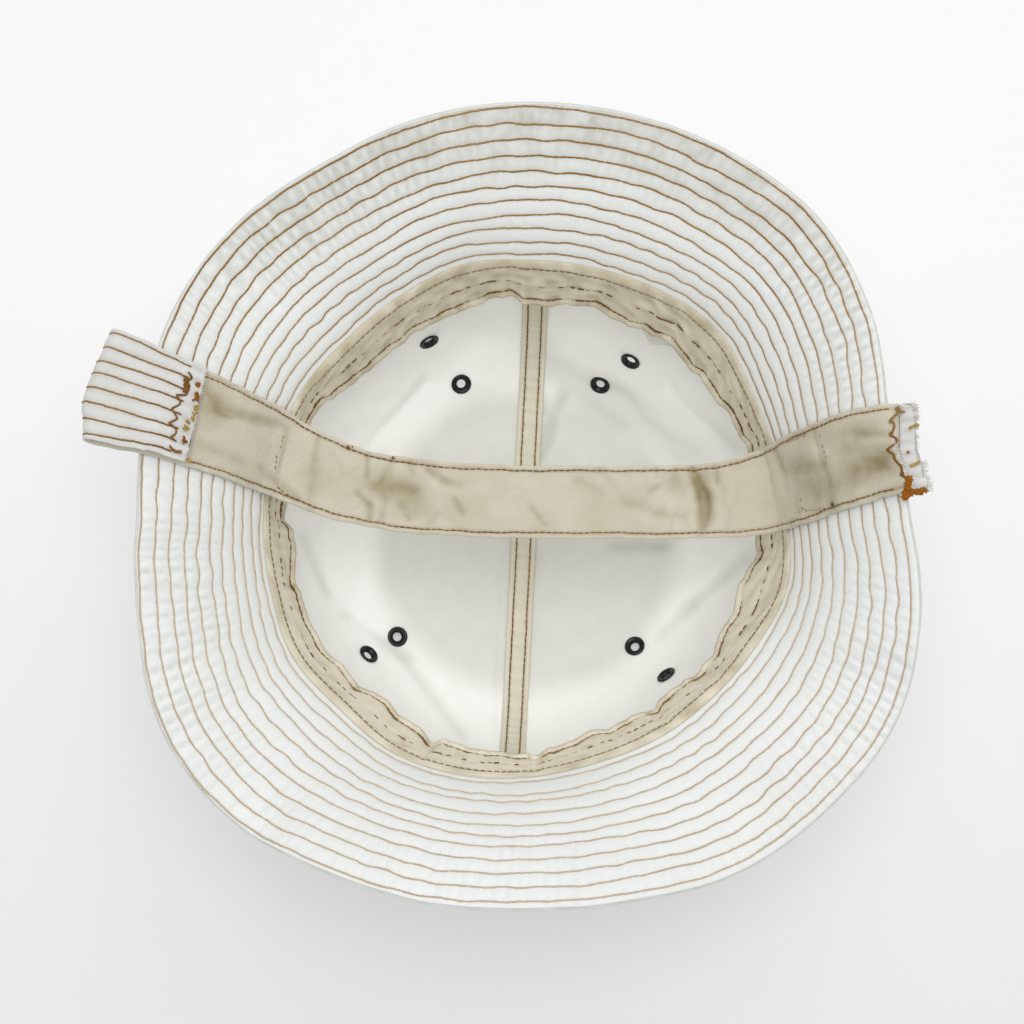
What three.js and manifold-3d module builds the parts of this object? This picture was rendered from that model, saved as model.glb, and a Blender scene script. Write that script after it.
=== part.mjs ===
// A white cotton sailor cap with a wide turned-down brim, lying crown down on a surface with its
// opening up. Lengths are millimetres, +Z is up, and the origin is on the surface under the
// middle of the crown. The centre seam runs along Y, and the strap crosses the opening along X.
import * as THREE from "three";
import { mergeVertices } from "three/addons/utils/BufferGeometryUtils.js";
import Module from "manifold-3d";

const wasm = await Module();
wasm.setup();

// Driving dimensions.
const crownDepth = 87; // surface to brim seam
const crownCloth = 1.4;
const restRadius = 48; // flat part of the crown that lies on the surface
const brimWidth = 62; // along the cloth, seam to edge
const brimEase = 20; // degrees the brim's slope eases by on each side of its mean
const brimCloth = 2.4;
const bandWidth = 34;
const bandCloth = 1;
const bandLip = 3.2; // how far the sweatband reaches over the brim
const tapeWidth = 10;
const tapeCloth = 1;
const seamX = -1.7; // the centre seam passes a little left of the axis
const seamLean = 2.9; // and leans clockwise from Y
const strapCloth = 1; // each of the strap's two layers
const strapFold = 3; // height inside the fold at the strap's left end
const strapFlap = 36; // folded-back length there
const strapGap = 0.35; // between the two layers
const gap = 0.3; // clearance between pieces

// The outline every 15 degrees anticlockwise from +X, as radii from the axis: the brim seam, the
// brim's edge and the crown wall under the sweatband.
const outline = [
  { azimuth: 0, seam: 94, edge: 129, wall: 88 },
  { azimuth: 15, seam: 92.8, edge: 127.5, wall: 89.5 },
  { azimuth: 30, seam: 93.4, edge: 136.3, wall: 87 },
  { azimuth: 45, seam: 97, edge: 143.3, wall: 87 },
  { azimuth: 60, seam: 95.6, edge: 144.3, wall: 88.4 },
  { azimuth: 75, seam: 94.2, edge: 144.5, wall: 88.4 },
  { azimuth: 90, seam: 93.8, edge: 144.2, wall: 86.5 },
  { azimuth: 105, seam: 95.5, edge: 142.3, wall: 88.3 },
  { azimuth: 120, seam: 93.2, edge: 141, wall: 87.3 },
  { azimuth: 135, seam: 92, edge: 143.9, wall: 87 },
  { azimuth: 150, seam: 93.7, edge: 141.4, wall: 91.5 },
  { azimuth: 165, seam: 94.6, edge: 136.5, wall: 91.5 },
  { azimuth: 180, seam: 95.6, edge: 133.2, wall: 91 },
  { azimuth: 195, seam: 95.7, edge: 137.6, wall: 90 },
  { azimuth: 210, seam: 97.2, edge: 146.3, wall: 89 },
  { azimuth: 225, seam: 95, edge: 147.5, wall: 86 },
  { azimuth: 240, seam: 96.3, edge: 142.6, wall: 86.3 },
  { azimuth: 255, seam: 94.7, edge: 139, wall: 84.6 },
  { azimuth: 270, seam: 92.4, edge: 136.4, wall: 84.8 },
  { azimuth: 285, seam: 90.3, edge: 138.7, wall: 80.8 },
  { azimuth: 300, seam: 90.3, edge: 144.2, wall: 80 },
  { azimuth: 315, seam: 90.7, edge: 146.1, wall: 81.3 },
  { azimuth: 330, seam: 92.4, edge: 146.7, wall: 83 },
  { azimuth: 345, seam: 96.2, edge: 138.3, wall: 83 },
];

// Soft dents that lift the crown off the surface round its flat part.
const dents = [
  { azimuth: 112, radius: 66, lift: 3, spread: 15 },
  { azimuth: 32, radius: 62, lift: 3.5, spread: 14 },
  { azimuth: 305, radius: 64, lift: 2.5, spread: 13 },
  { azimuth: 195, radius: 66, lift: 2.5, spread: 16 },
];

// Ventilation eyelets in four pairs, two in a row on each quarter of the crown.
const eyelets = [
  { azimuth: 117, radius: 86 },
  { azimuth: 113, radius: 70 },
  { azimuth: 60, radius: 82.5 },
  { azimuth: 65.5, radius: 68.7 },
  { azimuth: 216, radius: 77.6 },
  { azimuth: 216, radius: 63.7 },
  { azimuth: 315.5, radius: 59.3 },
  { azimuth: 315, radius: 76.5 },
];
const eyeletRadius = 3.8;
const eyeletHole = 1.9;
const eyeletBarrel = 2.6;
const eyeletRoll = 0.9; // height of its rolled rim
const eyeletSeat = 0.6; // between the rim and the curved cloth
const clothHole = 3;
const eyeletSides = 10;

// The strap's middle line in plan, with its width, from its folded left end to its torn right end.
const strapRows = [
  { x: -146.5, y: 40.2, width: 39 },
  { x: -132, y: 36, width: 36.5 },
  { x: -118, y: 32, width: 34.5 },
  { x: -105, y: 28, width: 33 },
  { x: -93, y: 24, width: 31 },
  { x: -80, y: 18.5, width: 28.5 },
  { x: -65, y: 13, width: 27.5 },
  { x: -46, y: 9.5, width: 27 },
  { x: -23, y: 7.8, width: 26.6 },
  { x: 2, y: 7, width: 26.4 },
  { x: 27, y: 6.8, width: 26.4 },
  { x: 52, y: 6.6, width: 26.6 },
  { x: 72, y: 7.4, width: 27.6 },
  { x: 85, y: 9.6, width: 30 },
  { x: 97, y: 12.8, width: 32 },
  { x: 109, y: 16, width: 32 },
  { x: 119, y: 18, width: 31.3 },
  { x: 127, y: 18.8, width: 30.5 },
];
const strapSag = 6; // its middle hangs this far below the brim seam
const strapRise = 10; // from there up to the seam at each side
const tornLengths = [4, 6, 3.5, 6]; // white threads past the lining at the torn end

const aroundSteps = 60;
const crownSteps = [0, 0.12, 0.24, 0.35, 0.46, 0.56, 0.66, 0.75, 0.84, 0.92, 1];
const brimSteps = 8;
const strapSteps = 42;
const strapColumns = 3;
const foldSteps = 4;

const radians = THREE.MathUtils.degToRad;
const clamp = THREE.MathUtils.clamp;
const lerp = THREE.MathUtils.lerp;

// A smooth curve through evenly spaced values, at position t between values b and c.
function through(a, b, c, d, t) {
  return b + 0.5 * t * (c - a + t * (2 * a - 5 * b + 4 * c - d + t * (3 * (b - c) + d - a)));
}

// A column of the outline at any azimuth in degrees.
function around(azimuth, column) {
  const count = outline.length;
  const place = (((azimuth % 360) + 360) % 360) / (360 / count);
  const i = Math.floor(place);
  const value = (k) => outline[(i + k + count) % count][column];
  return through(value(-1), value(0), value(1), value(2), place - i);
}

function dentAt(x, y) {
  return dents.reduce((lift, dent) => {
    const dx = x - dent.radius * Math.cos(radians(dent.azimuth));
    const dy = y - dent.radius * Math.sin(radians(dent.azimuth));
    return lift + dent.lift * Math.exp(-(dx * dx + dy * dy) / (dent.spread * dent.spread));
  }, 0);
}

// The crown's outer face in one half section, t from 0 at the seam to 1 at the flat: radius,
// height, and the inward normal.
function crownCurve(azimuth, t) {
  const seam = around(azimuth, "seam");
  const handle = around(azimuth, "wall") + 2;
  const r = [seam, handle, handle, restRadius];
  const z = [crownDepth, crownDepth * 0.52, 0, 0];
  const u = 1 - t;
  const mix = (p) => u * u * u * p[0] + 3 * u * u * t * p[1] + 3 * u * t * t * p[2] + t * t * t * p[3];
  const slope = (p) => u * u * (p[1] - p[0]) + 2 * u * t * (p[2] - p[1]) + t * t * (p[3] - p[2]);
  const dr = slope(r);
  const dz = slope(z);
  const length = Math.hypot(dr, dz);
  return { r: mix(r), z: mix(z), nr: dz / length, nz: -dr / length };
}

// The same face at a place in plan, lifted off it by a distance along the normal.
function onCrown(x, y, lift) {
  const azimuth = THREE.MathUtils.radToDeg(Math.atan2(y, x));
  const radius = Math.hypot(x, y);
  let section = { z: 0, nr: 0, nz: 1 };
  if (radius > restRadius) {
    let low = 0;
    let high = 1;
    for (let i = 0; i < 40; i++) {
      const t = (low + high) / 2;
      if (crownCurve(azimuth, t).r > radius) low = t;
      else high = t;
    }
    section = crownCurve(azimuth, low);
  }
  // The dents fade out towards the flat part and the seam.
  const fade = clamp((radius - restRadius) / 12, 0, 1) * clamp((crownDepth * 0.5 - section.z) / 20, 0, 1);
  const height = lift + dentAt(x, y) * fade;
  const outward = radius > 0 ? section.nr / radius : 0;
  const normal = new THREE.Vector3(x * outward, y * outward, section.nz);
  return { point: new THREE.Vector3(x, y, section.z).addScaledVector(normal, height), normal };
}

// The brim in one half section at a distance s along the cloth: an arc that starts steep at the
// seam and eases towards the edge, just long enough to reach the outline.
function brimCurve(azimuth, s) {
  const ease = radians(brimEase);
  const reach = around(azimuth, "edge") - around(azimuth, "seam");
  const mean = Math.acos(clamp((reach * ease) / (brimWidth * Math.sin(ease)), 0, 1));
  const start = mean + ease;
  const arc = brimWidth / (2 * ease);
  const slope = start - s / arc;
  const r = around(azimuth, "seam") - gap + arc * (Math.sin(start) - Math.sin(slope));
  const z = crownDepth + gap + (brimCloth / 2) * Math.cos(start) + arc * (Math.cos(slope) - Math.cos(start));
  return { r, z, nr: -Math.sin(slope), nz: Math.cos(slope) };
}

function atAzimuth(azimuth, section, lift) {
  const r = section.r + section.nr * lift;
  const z = section.z + section.nz * lift;
  return new THREE.Vector3(r * Math.cos(radians(azimuth)), r * Math.sin(radians(azimuth)), z);
}

// A closed solid between two grids of points, rows by columns, with both faces split along the
// same diagonals. A joined grid's last row meets its first, and corners may fall together.
function solidBetween(lower, upper, joined = false) {
  const rows = lower.length;
  const last = lower[0].length - 1;
  const corners = [];
  const quad = (a, b, c, d) => corners.push(a, b, c, a, c, d);
  for (let i = 0; i < (joined ? rows : rows - 1); i++) {
    const k = (i + 1) % rows;
    for (let j = 0; j < last; j++) {
      quad(upper[i][j], upper[k][j], upper[k][j + 1], upper[i][j + 1]);
      quad(lower[i][j], lower[i][j + 1], lower[k][j + 1], lower[k][j]);
    }
    quad(lower[i][0], lower[k][0], upper[k][0], upper[i][0]);
    quad(upper[i][last], upper[k][last], lower[k][last], lower[i][last]);
  }
  for (let j = 0; j < last && !joined; j++) {
    const end = rows - 1;
    quad(lower[0][j], upper[0][j], upper[0][j + 1], lower[0][j + 1]);
    quad(lower[end][j + 1], upper[end][j + 1], upper[end][j], lower[end][j]);
  }
  return solidFrom(new THREE.BufferGeometry().setFromPoints(corners));
}

// A geometry as a manifold-3d solid that faces out.
function solidFrom(geometry) {
  const bare = geometry.index ? geometry.toNonIndexed() : geometry.clone();
  bare.deleteAttribute("normal");
  bare.deleteAttribute("uv");
  const merged = mergeVertices(bare, 1e-3);
  const triangles = [];
  for (let i = 0; i < merged.index.count; i += 3) {
    const [a, b, c] = [0, 1, 2].map((k) => merged.index.getX(i + k));
    if (a !== b && b !== c && c !== a) triangles.push(a, b, c);
  }
  const build = () =>
    new wasm.Manifold(
      new wasm.Mesh({
        numProp: 3,
        vertProperties: new Float32Array(merged.attributes.position.array),
        triVerts: new Uint32Array(triangles),
      }),
    );
  const solid = build();
  if (solid.volume() > 0) return solid;
  triangles.reverse();
  return build();
}

function geometryOf(solid) {
  const mesh = solid.getMesh();
  const geometry = new THREE.BufferGeometry();
  geometry.setAttribute("position", new THREE.BufferAttribute(mesh.vertProperties, 3));
  geometry.setIndex(new THREE.BufferAttribute(mesh.triVerts, 1));
  return geometry;
}

const azimuths = Array.from({ length: aroundSteps }, (_, i) => (360 / aroundSteps) * i);

// Crown: one bowl, cut into two panels along the centre seam and pierced at the eyelets.
function crownFace(lift) {
  return azimuths.map((azimuth) => {
    const rim = crownSteps.map((t) => {
      const { r } = crownCurve(azimuth, t);
      return onCrown(r * Math.cos(radians(azimuth)), r * Math.sin(radians(azimuth)), lift).point;
    });
    return [...rim, new THREE.Vector3(0, 0, lift)];
  });
}

function crownPanels() {
  const bowl = solidBetween(crownFace(0), crownFace(crownCloth), true);
  const slit = new THREE.BoxGeometry(gap, 400, 400).rotateZ(-radians(seamLean)).translate(seamX, 0, 0);
  let cut = bowl.subtract(solidFrom(slit));
  for (const eyelet of eyelets) {
    const drill = new THREE.CylinderGeometry(clothHole, clothHole, 12, eyeletSides);
    cut = cut.subtract(solidFrom(drill.applyMatrix4(eyeletMatrix(eyelet))));
  }
  const panels = cut.decompose().map((panel) => ({ panel, side: panel.boundingBox().max[0] }));
  panels.sort((a, b) => a.side - b.side);
  return panels.map(({ panel }) => geometryOf(panel));
}

// Stands a Y-axis lathe or cylinder on the middle of the crown's cloth at an eyelet.
function eyeletMatrix({ azimuth, radius }) {
  const x = radius * Math.cos(radians(azimuth));
  const y = radius * Math.sin(radians(azimuth));
  const cloth = (dx, dy) => onCrown(x + dx, y + dy, crownCloth / 2).point;
  const along = cloth(eyeletRadius, 0).sub(cloth(-eyeletRadius, 0));
  const across = cloth(0, eyeletRadius).sub(cloth(0, -eyeletRadius));
  const normal = along.cross(across).normalize();
  const rim = [cloth(eyeletRadius, 0), cloth(-eyeletRadius, 0), cloth(0, eyeletRadius), cloth(0, -eyeletRadius)];
  const middle = rim.reduce((sum, p) => sum.addScaledVector(p, 0.25), new THREE.Vector3());
  const point = cloth(0, 0).lerp(middle, 0.5);
  const turn = new THREE.Quaternion().setFromUnitVectors(new THREE.Vector3(0, 1, 0), normal);
  return new THREE.Matrix4().compose(point, turn, new THREE.Vector3(1, 1, 1));
}

// Eyelet: a barrel through the cloth with a rolled rim on each side of it.
function eyeletGeometry() {
  const seat = crownCloth / 2 + eyeletSeat;
  const top = seat + eyeletRoll;
  const side = [
    [eyeletBarrel, 0],
    [eyeletBarrel, seat],
    [eyeletRadius, seat],
    [(eyeletRadius + eyeletBarrel) / 2 + 0.3, top],
    [eyeletHole + 0.3, top - 0.15],
    [eyeletHole, seat],
  ];
  const mirrored = side
    .slice(1)
    .reverse()
    .map(([r, h]) => [r, -h]);
  const profile = [...side, ...mirrored, side[0]].map(([r, h]) => new THREE.Vector2(r, h));
  return new THREE.LatheGeometry(profile, eyeletSides);
}

// Brim: one quilted ring.
function brimGeometry() {
  const distances = Array.from({ length: brimSteps + 1 }, (_, j) => (brimWidth * j) / brimSteps);
  const face = (lift) => azimuths.map((a) => distances.map((s) => atAzimuth(a, brimCurve(a, s), lift)));
  return geometryOf(solidBetween(face(-brimCloth / 2), face(brimCloth / 2), true));
}

// Sweatband: follows the crown wall inside, stands proud of it over the seam tape's ends, and
// turns out over the brim at the seam. Its free edge waves a little.
function bandProfile(azimuth) {
  const wave = 0.9 * Math.sin(radians(azimuth * 9)) + 0.7 * Math.sin(radians(azimuth * 14 + 40));
  const proud = crownCloth + tapeCloth + 2 * gap;
  const near = crownCloth + gap;
  const depths = [bandWidth + wave, bandWidth * 0.66, bandWidth * 0.3, 1];
  const lifts = [proud, proud, lerp(near, proud, 0.5), near];
  const wall = depths.map((depth, i) => {
    const section = crownAtDepth(azimuth, depth);
    return [section.r + section.nr * lifts[i], section.z + section.nz * lifts[i]];
  });
  const lip = [-gap, bandLip].map((s) => {
    const section = brimCurve(azimuth, s);
    const lift = brimCloth / 2 + gap;
    return [section.r + section.nr * lift, section.z + section.nz * lift];
  });
  return [...wall, ...lip];
}

function crownAtDepth(azimuth, depth) {
  let low = 0;
  let high = 1;
  for (let i = 0; i < 30; i++) {
    const t = (low + high) / 2;
    if (crownDepth - crownCurve(azimuth, t).z < depth) low = t;
    else high = t;
  }
  return crownCurve(azimuth, low);
}

// Moves a half-section line sideways to its left by a distance.
function offsetLine(line, distance) {
  return line.map(([r, z], i) => {
    const before = line[Math.max(i - 1, 0)];
    const after = line[Math.min(i + 1, line.length - 1)];
    const length = Math.hypot(after[0] - before[0], after[1] - before[1]);
    const nr = -(after[1] - before[1]) / length;
    const nz = (after[0] - before[0]) / length;
    return [r + nr * distance, z + nz * distance];
  });
}

function bandGeometry() {
  const spin = (line, azimuth) =>
    line.map(([r, z]) => new THREE.Vector3(r * Math.cos(radians(azimuth)), r * Math.sin(radians(azimuth)), z));
  const outer = azimuths.map((a) => spin(bandProfile(a), a));
  const inner = azimuths.map((a) => spin(offsetLine(bandProfile(a), bandCloth), a));
  return geometryOf(solidBetween(outer, inner, true));
}

// A flat piece of cloth on the inside of the crown, from rows of places in plan.
function patchOnCrown(rows, cloth) {
  const face = (lift) => rows.map((row) => row.map(([x, y]) => onCrown(x, y, lift).point));
  const base = crownCloth + gap;
  return geometryOf(solidBetween(face(base), face(base + cloth)));
}

// Seam tape: covers the centre seam, and its ends tuck in under the sweatband.
function tapeGeometry() {
  const lean = radians(seamLean);
  const half = (azimuth) => {
    const tuck = crownAtDepth(azimuth, 0.66 * bandWidth + 2).r;
    const radii = crownSteps.map((t) => crownCurve(azimuth, t).r).filter((r) => r < tuck - 2);
    return [tuck, ...radii, restRadius / 2];
  };
  const alongs = [...half(90 - seamLean), 0, ...half(270 - seamLean).map((r) => -r).reverse()];
  const rows = alongs.map((v) =>
    [-1, 0, 1].map((side) => {
      const u = (side * tapeWidth) / 2;
      return [seamX + u * Math.cos(lean) + v * Math.sin(lean), v * Math.cos(lean) - u * Math.sin(lean)];
    }),
  );
  return patchOnCrown(rows, tapeCloth);
}

// Care label: a bare square tab, sewn in askew under the sweatband so that one corner hangs out.
const label = { azimuth: 57, depth: 36, side: 13, cloth: 1 };

function labelGeometry() {
  const steps = [-0.5, 0, 0.5].map((share) => (share * label.side) / Math.SQRT2);
  const arc = around(label.azimuth, "wall");
  const face = (lift) =>
    steps.map((a) =>
      steps.map((b) => {
        const azimuth = label.azimuth + THREE.MathUtils.radToDeg((a - b) / arc);
        return atAzimuth(azimuth, crownAtDepth(azimuth, label.depth - a - b), lift);
      }),
    );
  const base = crownCloth + gap;
  return geometryOf(solidBetween(face(base), face(base + label.cloth)));
}

// Height of what holds the strap up at a place in plan: the brim, or the sweatband's lip near the
// seam, with its slope carried on inside the seam and a nearly level run past the brim's edge.
function strapSupport(x, y) {
  const azimuth = THREE.MathUtils.radToDeg(Math.atan2(y, x));
  const radius = Math.hypot(x, y);
  const raised = (s) => {
    const lipShare = 1 - THREE.MathUtils.smoothstep(s, bandLip, bandLip + 8);
    const lift = brimCloth / 2 + 2 * gap + lipShare * (bandCloth + gap);
    const section = brimCurve(azimuth, s);
    return { r: section.r + section.nr * lift, z: section.z + section.nz * lift };
  };
  const root = raised(0);
  const edge = raised(brimWidth);
  if (radius < root.r) {
    const next = raised(1);
    return root.z - ((root.r - radius) * (next.z - root.z)) / (next.r - root.r);
  }
  if (radius > edge.r) return edge.z + 0.15 * (radius - edge.r);
  let low = 0;
  let high = brimWidth;
  for (let i = 0; i < 30; i++) {
    const s = (low + high) / 2;
    if (raised(s).r < radius) low = s;
    else high = s;
  }
  return raised(low).z;
}

function strapHeight(x, y) {
  const span = crownDepth - strapSag + strapRise * (x / 88) ** 2;
  const rest = strapSupport(x, y);
  const blend = 4;
  const mean = (span + rest) / 2;
  return mean + Math.sqrt(((span - rest) / 2) ** 2 + blend ** 2 / 4);
}

// The strap's underside: places along the row table, each a line of points across the strap.
function strapUnderside() {
  const last = strapRows.length - 1;
  const column = (name, place) => {
    const i = clamp(Math.floor(place), 0, last - 1);
    const value = (k) => strapRows[clamp(i + k, 0, last)][name];
    return through(value(-1), value(0), value(1), value(2), place - i);
  };
  const middle = (place) => new THREE.Vector2(column("x", place), column("y", place));
  return Array.from({ length: strapSteps + 1 }, (_, i) => {
    const place = (last * i) / strapSteps;
    const along = middle(Math.min(place + 0.2, last)).sub(middle(Math.max(place - 0.2, 0))).normalize();
    const centre = middle(place);
    return Array.from({ length: strapColumns + 1 }, (_, j) => {
      const side = column("width", place) * (j / strapColumns - 0.5);
      const x = centre.x - along.y * side;
      const y = centre.y + along.x * side;
      return new THREE.Vector3(x, y, strapHeight(x, y));
    });
  });
}

// Upward normals of a grid whose rows run along +X and columns along +Y.
function gridNormals(grid) {
  return grid.map((row, i) =>
    row.map((_, j) => {
      const along = grid[Math.min(i + 1, grid.length - 1)][j].clone().sub(grid[Math.max(i - 1, 0)][j]);
      const across = row[Math.min(j + 1, row.length - 1)].clone().sub(row[Math.max(j - 1, 0)]);
      return along.cross(across).normalize();
    }),
  );
}

// The strap as one long sheet: the flap from its cut end to the fold, round the fold, then the
// run to the right. Each row has its points on the white side and the way to the lining side.
function strapSheet() {
  const base = strapUnderside();
  const normals = gridNormals(base);
  const stack = 2 * strapCloth + strapGap;
  const flapRows = base.filter((row) => row[0].distanceTo(base[0][0]) < strapFlap).length;
  const sheet = [];
  for (let i = flapRows - 1; i >= 0; i--) {
    const open = lerp(strapFold, 2 * gap, i / (flapRows - 1));
    const height = 2 * stack + open;
    sheet.push(base[i].map((p, j) => ({ p: p.clone().addScaledVector(normals[i][j], height), n: normals[i][j].clone().negate() })));
  }
  const radius = stack + strapFold / 2;
  const outward = base[0][0].clone().sub(base[1][0]).normalize();
  for (let k = 1; k < foldSteps; k++) {
    const turn = (Math.PI * k) / foldSteps;
    sheet.push(
      base[0].map((p, j) => {
        const n = normals[0][j].clone().multiplyScalar(-Math.cos(turn)).addScaledVector(outward, -Math.sin(turn));
        return { p: p.clone().addScaledVector(normals[0][j], radius).addScaledVector(n, -radius), n };
      }),
    );
  }
  base.forEach((row, i) => sheet.push(row.map((p, j) => ({ p, n: normals[i][j] }))));
  return sheet;
}

function strapLayer(from, to, torn) {
  const sheet = strapSheet();
  const face = (lift) => sheet.map((row) => row.map(({ p, n }) => p.clone().addScaledVector(n, lift)));
  const [lower, upper] = [face(from), face(to)];
  for (const grid of torn ? [lower, upper] : []) {
    const end = grid.length - 1;
    const tips = grid[end].map((p, j) => {
      const along = p.clone().sub(grid[end - 1][j]).normalize();
      return p.clone().addScaledVector(along, tornLengths[j]);
    });
    grid.push(tips);
  }
  return geometryOf(solidBetween(lower, upper));
}

const cloths = {
  white: new THREE.MeshStandardMaterial({ color: 0xdfe1da, roughness: 0.92 }),
  beige: new THREE.MeshStandardMaterial({ color: 0xcdc7b2, roughness: 0.92 }),
  black: new THREE.MeshStandardMaterial({ color: 0x16161a, roughness: 0.35, metalness: 0.6 }),
  label: new THREE.MeshStandardMaterial({ color: 0xe6e6de, roughness: 0.6 }),
};

function piece(name, geometry, material) {
  const mesh = new THREE.Mesh(geometry, material);
  mesh.name = name;
  return mesh;
}

const cap = new THREE.Group();
const [leftPanel, rightPanel] = crownPanels();
cap.add(piece("crown_left", leftPanel, cloths.white));
cap.add(piece("crown_right", rightPanel, cloths.white));
cap.add(piece("brim", brimGeometry(), cloths.white));
cap.add(piece("sweatband", bandGeometry(), cloths.beige));
cap.add(piece("seam_tape", tapeGeometry(), cloths.beige));
cap.add(piece("care_label", labelGeometry(), cloths.label));
cap.add(piece("strap_face", strapLayer(0, strapCloth, true), cloths.white));
cap.add(piece("strap_lining", strapLayer(strapCloth + strapGap, 2 * strapCloth + strapGap, false), cloths.beige));
eyelets.forEach((eyelet, i) => {
  const mesh = piece(`eyelet_${i + 1}`, eyeletGeometry(), cloths.black);
  mesh.applyMatrix4(eyeletMatrix(eyelet));
  cap.add(mesh);
});

export default cap;
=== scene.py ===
import math

import bpy
import numpy as np
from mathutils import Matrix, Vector


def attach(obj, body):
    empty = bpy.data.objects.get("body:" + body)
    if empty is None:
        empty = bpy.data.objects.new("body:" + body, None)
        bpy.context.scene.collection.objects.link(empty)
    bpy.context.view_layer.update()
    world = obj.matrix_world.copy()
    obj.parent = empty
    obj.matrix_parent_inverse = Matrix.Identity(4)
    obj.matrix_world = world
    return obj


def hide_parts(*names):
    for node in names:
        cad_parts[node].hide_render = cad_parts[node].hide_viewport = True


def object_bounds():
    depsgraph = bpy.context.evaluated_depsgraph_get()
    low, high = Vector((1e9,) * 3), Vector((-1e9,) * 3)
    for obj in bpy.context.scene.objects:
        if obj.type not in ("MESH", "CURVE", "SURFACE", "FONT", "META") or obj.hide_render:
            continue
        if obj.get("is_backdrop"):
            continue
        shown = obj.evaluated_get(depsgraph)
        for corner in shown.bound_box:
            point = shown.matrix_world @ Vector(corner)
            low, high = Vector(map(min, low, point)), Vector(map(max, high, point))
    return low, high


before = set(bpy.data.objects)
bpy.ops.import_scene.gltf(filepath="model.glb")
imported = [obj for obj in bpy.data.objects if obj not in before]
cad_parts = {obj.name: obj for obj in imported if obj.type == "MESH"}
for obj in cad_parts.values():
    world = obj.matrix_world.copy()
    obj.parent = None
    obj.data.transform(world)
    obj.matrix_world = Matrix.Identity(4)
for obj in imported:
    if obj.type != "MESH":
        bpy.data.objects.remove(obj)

cad_box = [list(corner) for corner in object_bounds()]

# A white cotton sailor cap lies on its crown with the opening up. Shapes are worked out in
# millimetres in the frame of the solids, and turned into metres when a mesh is made.
CROWN_DEPTH = 87.0
CROWN_CLOTH = 1.4
REST_RADIUS = 48.0
BRIM_WIDTH = 62.0
BRIM_EASE = math.radians(20)
BRIM_CLOTH = 2.4
BAND_WIDTH = 34.0
BAND_LIP = 3.2
SEAM_X = -1.7
SEAM_LEAN = math.radians(2.9)
GAP = 0.3
ROW_PITCH = 5.5
ROW_COUNT = 11
FIRST_ROW = 60.6

# The camera stands where the photographer's did, and its picture is 1024 pixels square.
TARGET = (0.0, 0.0, 87.0)
TARGET_PIXEL = (528.0, 520.0)
DISTANCE = 900.0
ELEVATION = math.radians(84)
LENS, SENSOR, PICTURE = 87.9, 36.0, 1024
FOCAL = LENS / SENSOR * PICTURE

# azimuth, and the radii of the brim's seam, the brim's edge and the crown's wall
OUTLINE = [
    (0, 94, 129, 88), (15, 92.8, 127.5, 89.5), (30, 93.4, 136.3, 87), (45, 97, 143.3, 87),
    (60, 95.6, 144.3, 88.4), (75, 94.2, 144.5, 88.4), (90, 93.8, 144.2, 86.5), (105, 95.5, 142.3, 88.3),
    (120, 93.2, 141, 87.3), (135, 92, 143.9, 87), (150, 93.7, 141.4, 91.5), (165, 94.6, 136.5, 91.5),
    (180, 95.6, 133.2, 91), (195, 95.7, 137.6, 90), (210, 97.2, 146.3, 89), (225, 95, 147.5, 86),
    (240, 96.3, 142.6, 86.3), (255, 94.7, 139, 84.6), (270, 92.4, 136.4, 84.8), (285, 90.3, 138.7, 80.8),
    (300, 90.3, 144.2, 80), (315, 90.7, 146.1, 81.3), (330, 92.4, 146.7, 83), (345, 96.2, 138.3, 83),
]
SEAM, EDGE, WALL = 1, 2, 3


def through(a, b, c, d, t):
    """A smooth curve through evenly spaced values, at t between b and c."""
    return b + 0.5 * t * (c - a + t * (2 * a - 5 * b + 4 * c - d + t * (3 * (b - c) + d - a)))


def around(azimuth, column):
    """A column of the outline at any azimuths, in degrees."""
    values = np.array([row[column] for row in OUTLINE], float)
    count = len(values)
    place = np.mod(azimuth, 360) / (360 / count)
    i = np.floor(place).astype(int)
    return through(*(values[(i + k) % count] for k in (-1, 0, 1, 2)), place - i)


def waves(azimuth, seed, low, high, count=7):
    """Smooth noise that closes on itself round the cap, about -1 to 1."""
    rng = np.random.default_rng(seed)
    out = np.zeros_like(np.asarray(azimuth, float))
    for _ in range(count):
        turns = rng.integers(low, high + 1)
        phase = rng.uniform(0, 2 * math.pi)
        out += np.sin(np.radians(azimuth) * turns + phase)
    return out / math.sqrt(count)


def noise2(u, v, seed, size, count=24):
    """Smooth noise in a plane, about -1 to 1, with features about this size."""
    rng = np.random.default_rng(seed)
    out = np.zeros(np.broadcast(u, v).shape)
    for _ in range(count):
        angle = rng.uniform(0, 2 * math.pi)
        step = rng.uniform(0.6, 1.6) * math.pi / size
        out += np.sin((u * math.cos(angle) + v * math.sin(angle)) * step + rng.uniform(0, 2 * math.pi))
    return out / math.sqrt(count)


def smooth(x, low, high):
    """0 below low, 1 above high, and a smooth step between them."""
    t = np.clip((x - low) / (high - low), 0, 1)
    return t * t * (3 - 2 * t)


def unit(v):
    return v / np.maximum(np.linalg.norm(v, axis=-1, keepdims=True), 1e-9)


def hump(x, width):
    """1 at 0, falling smoothly to nearly 0 at twice the width."""
    return np.exp(-((x / width) ** 2))


def turned(azimuth, centre):
    """How many degrees lie between two directions."""
    return np.abs(np.mod(azimuth - centre + 180, 360) - 180)


def plateau(azimuth, centre, half):
    """1 near a direction, falling to 0 past half a spread in degrees."""
    return np.exp(-((turned(azimuth, centre) / half) ** 4))


def run_along(path):
    """How far along a line of points each of them lies."""
    return np.concatenate([[0], np.cumsum(np.linalg.norm(np.diff(path, axis=0), axis=1))])


def resample(spots, at, values):
    """Points or directions at some spots along a line, from those at other spots."""
    return np.stack([np.interp(spots, at, values[:, q]) for q in range(values.shape[1])], -1)


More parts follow.
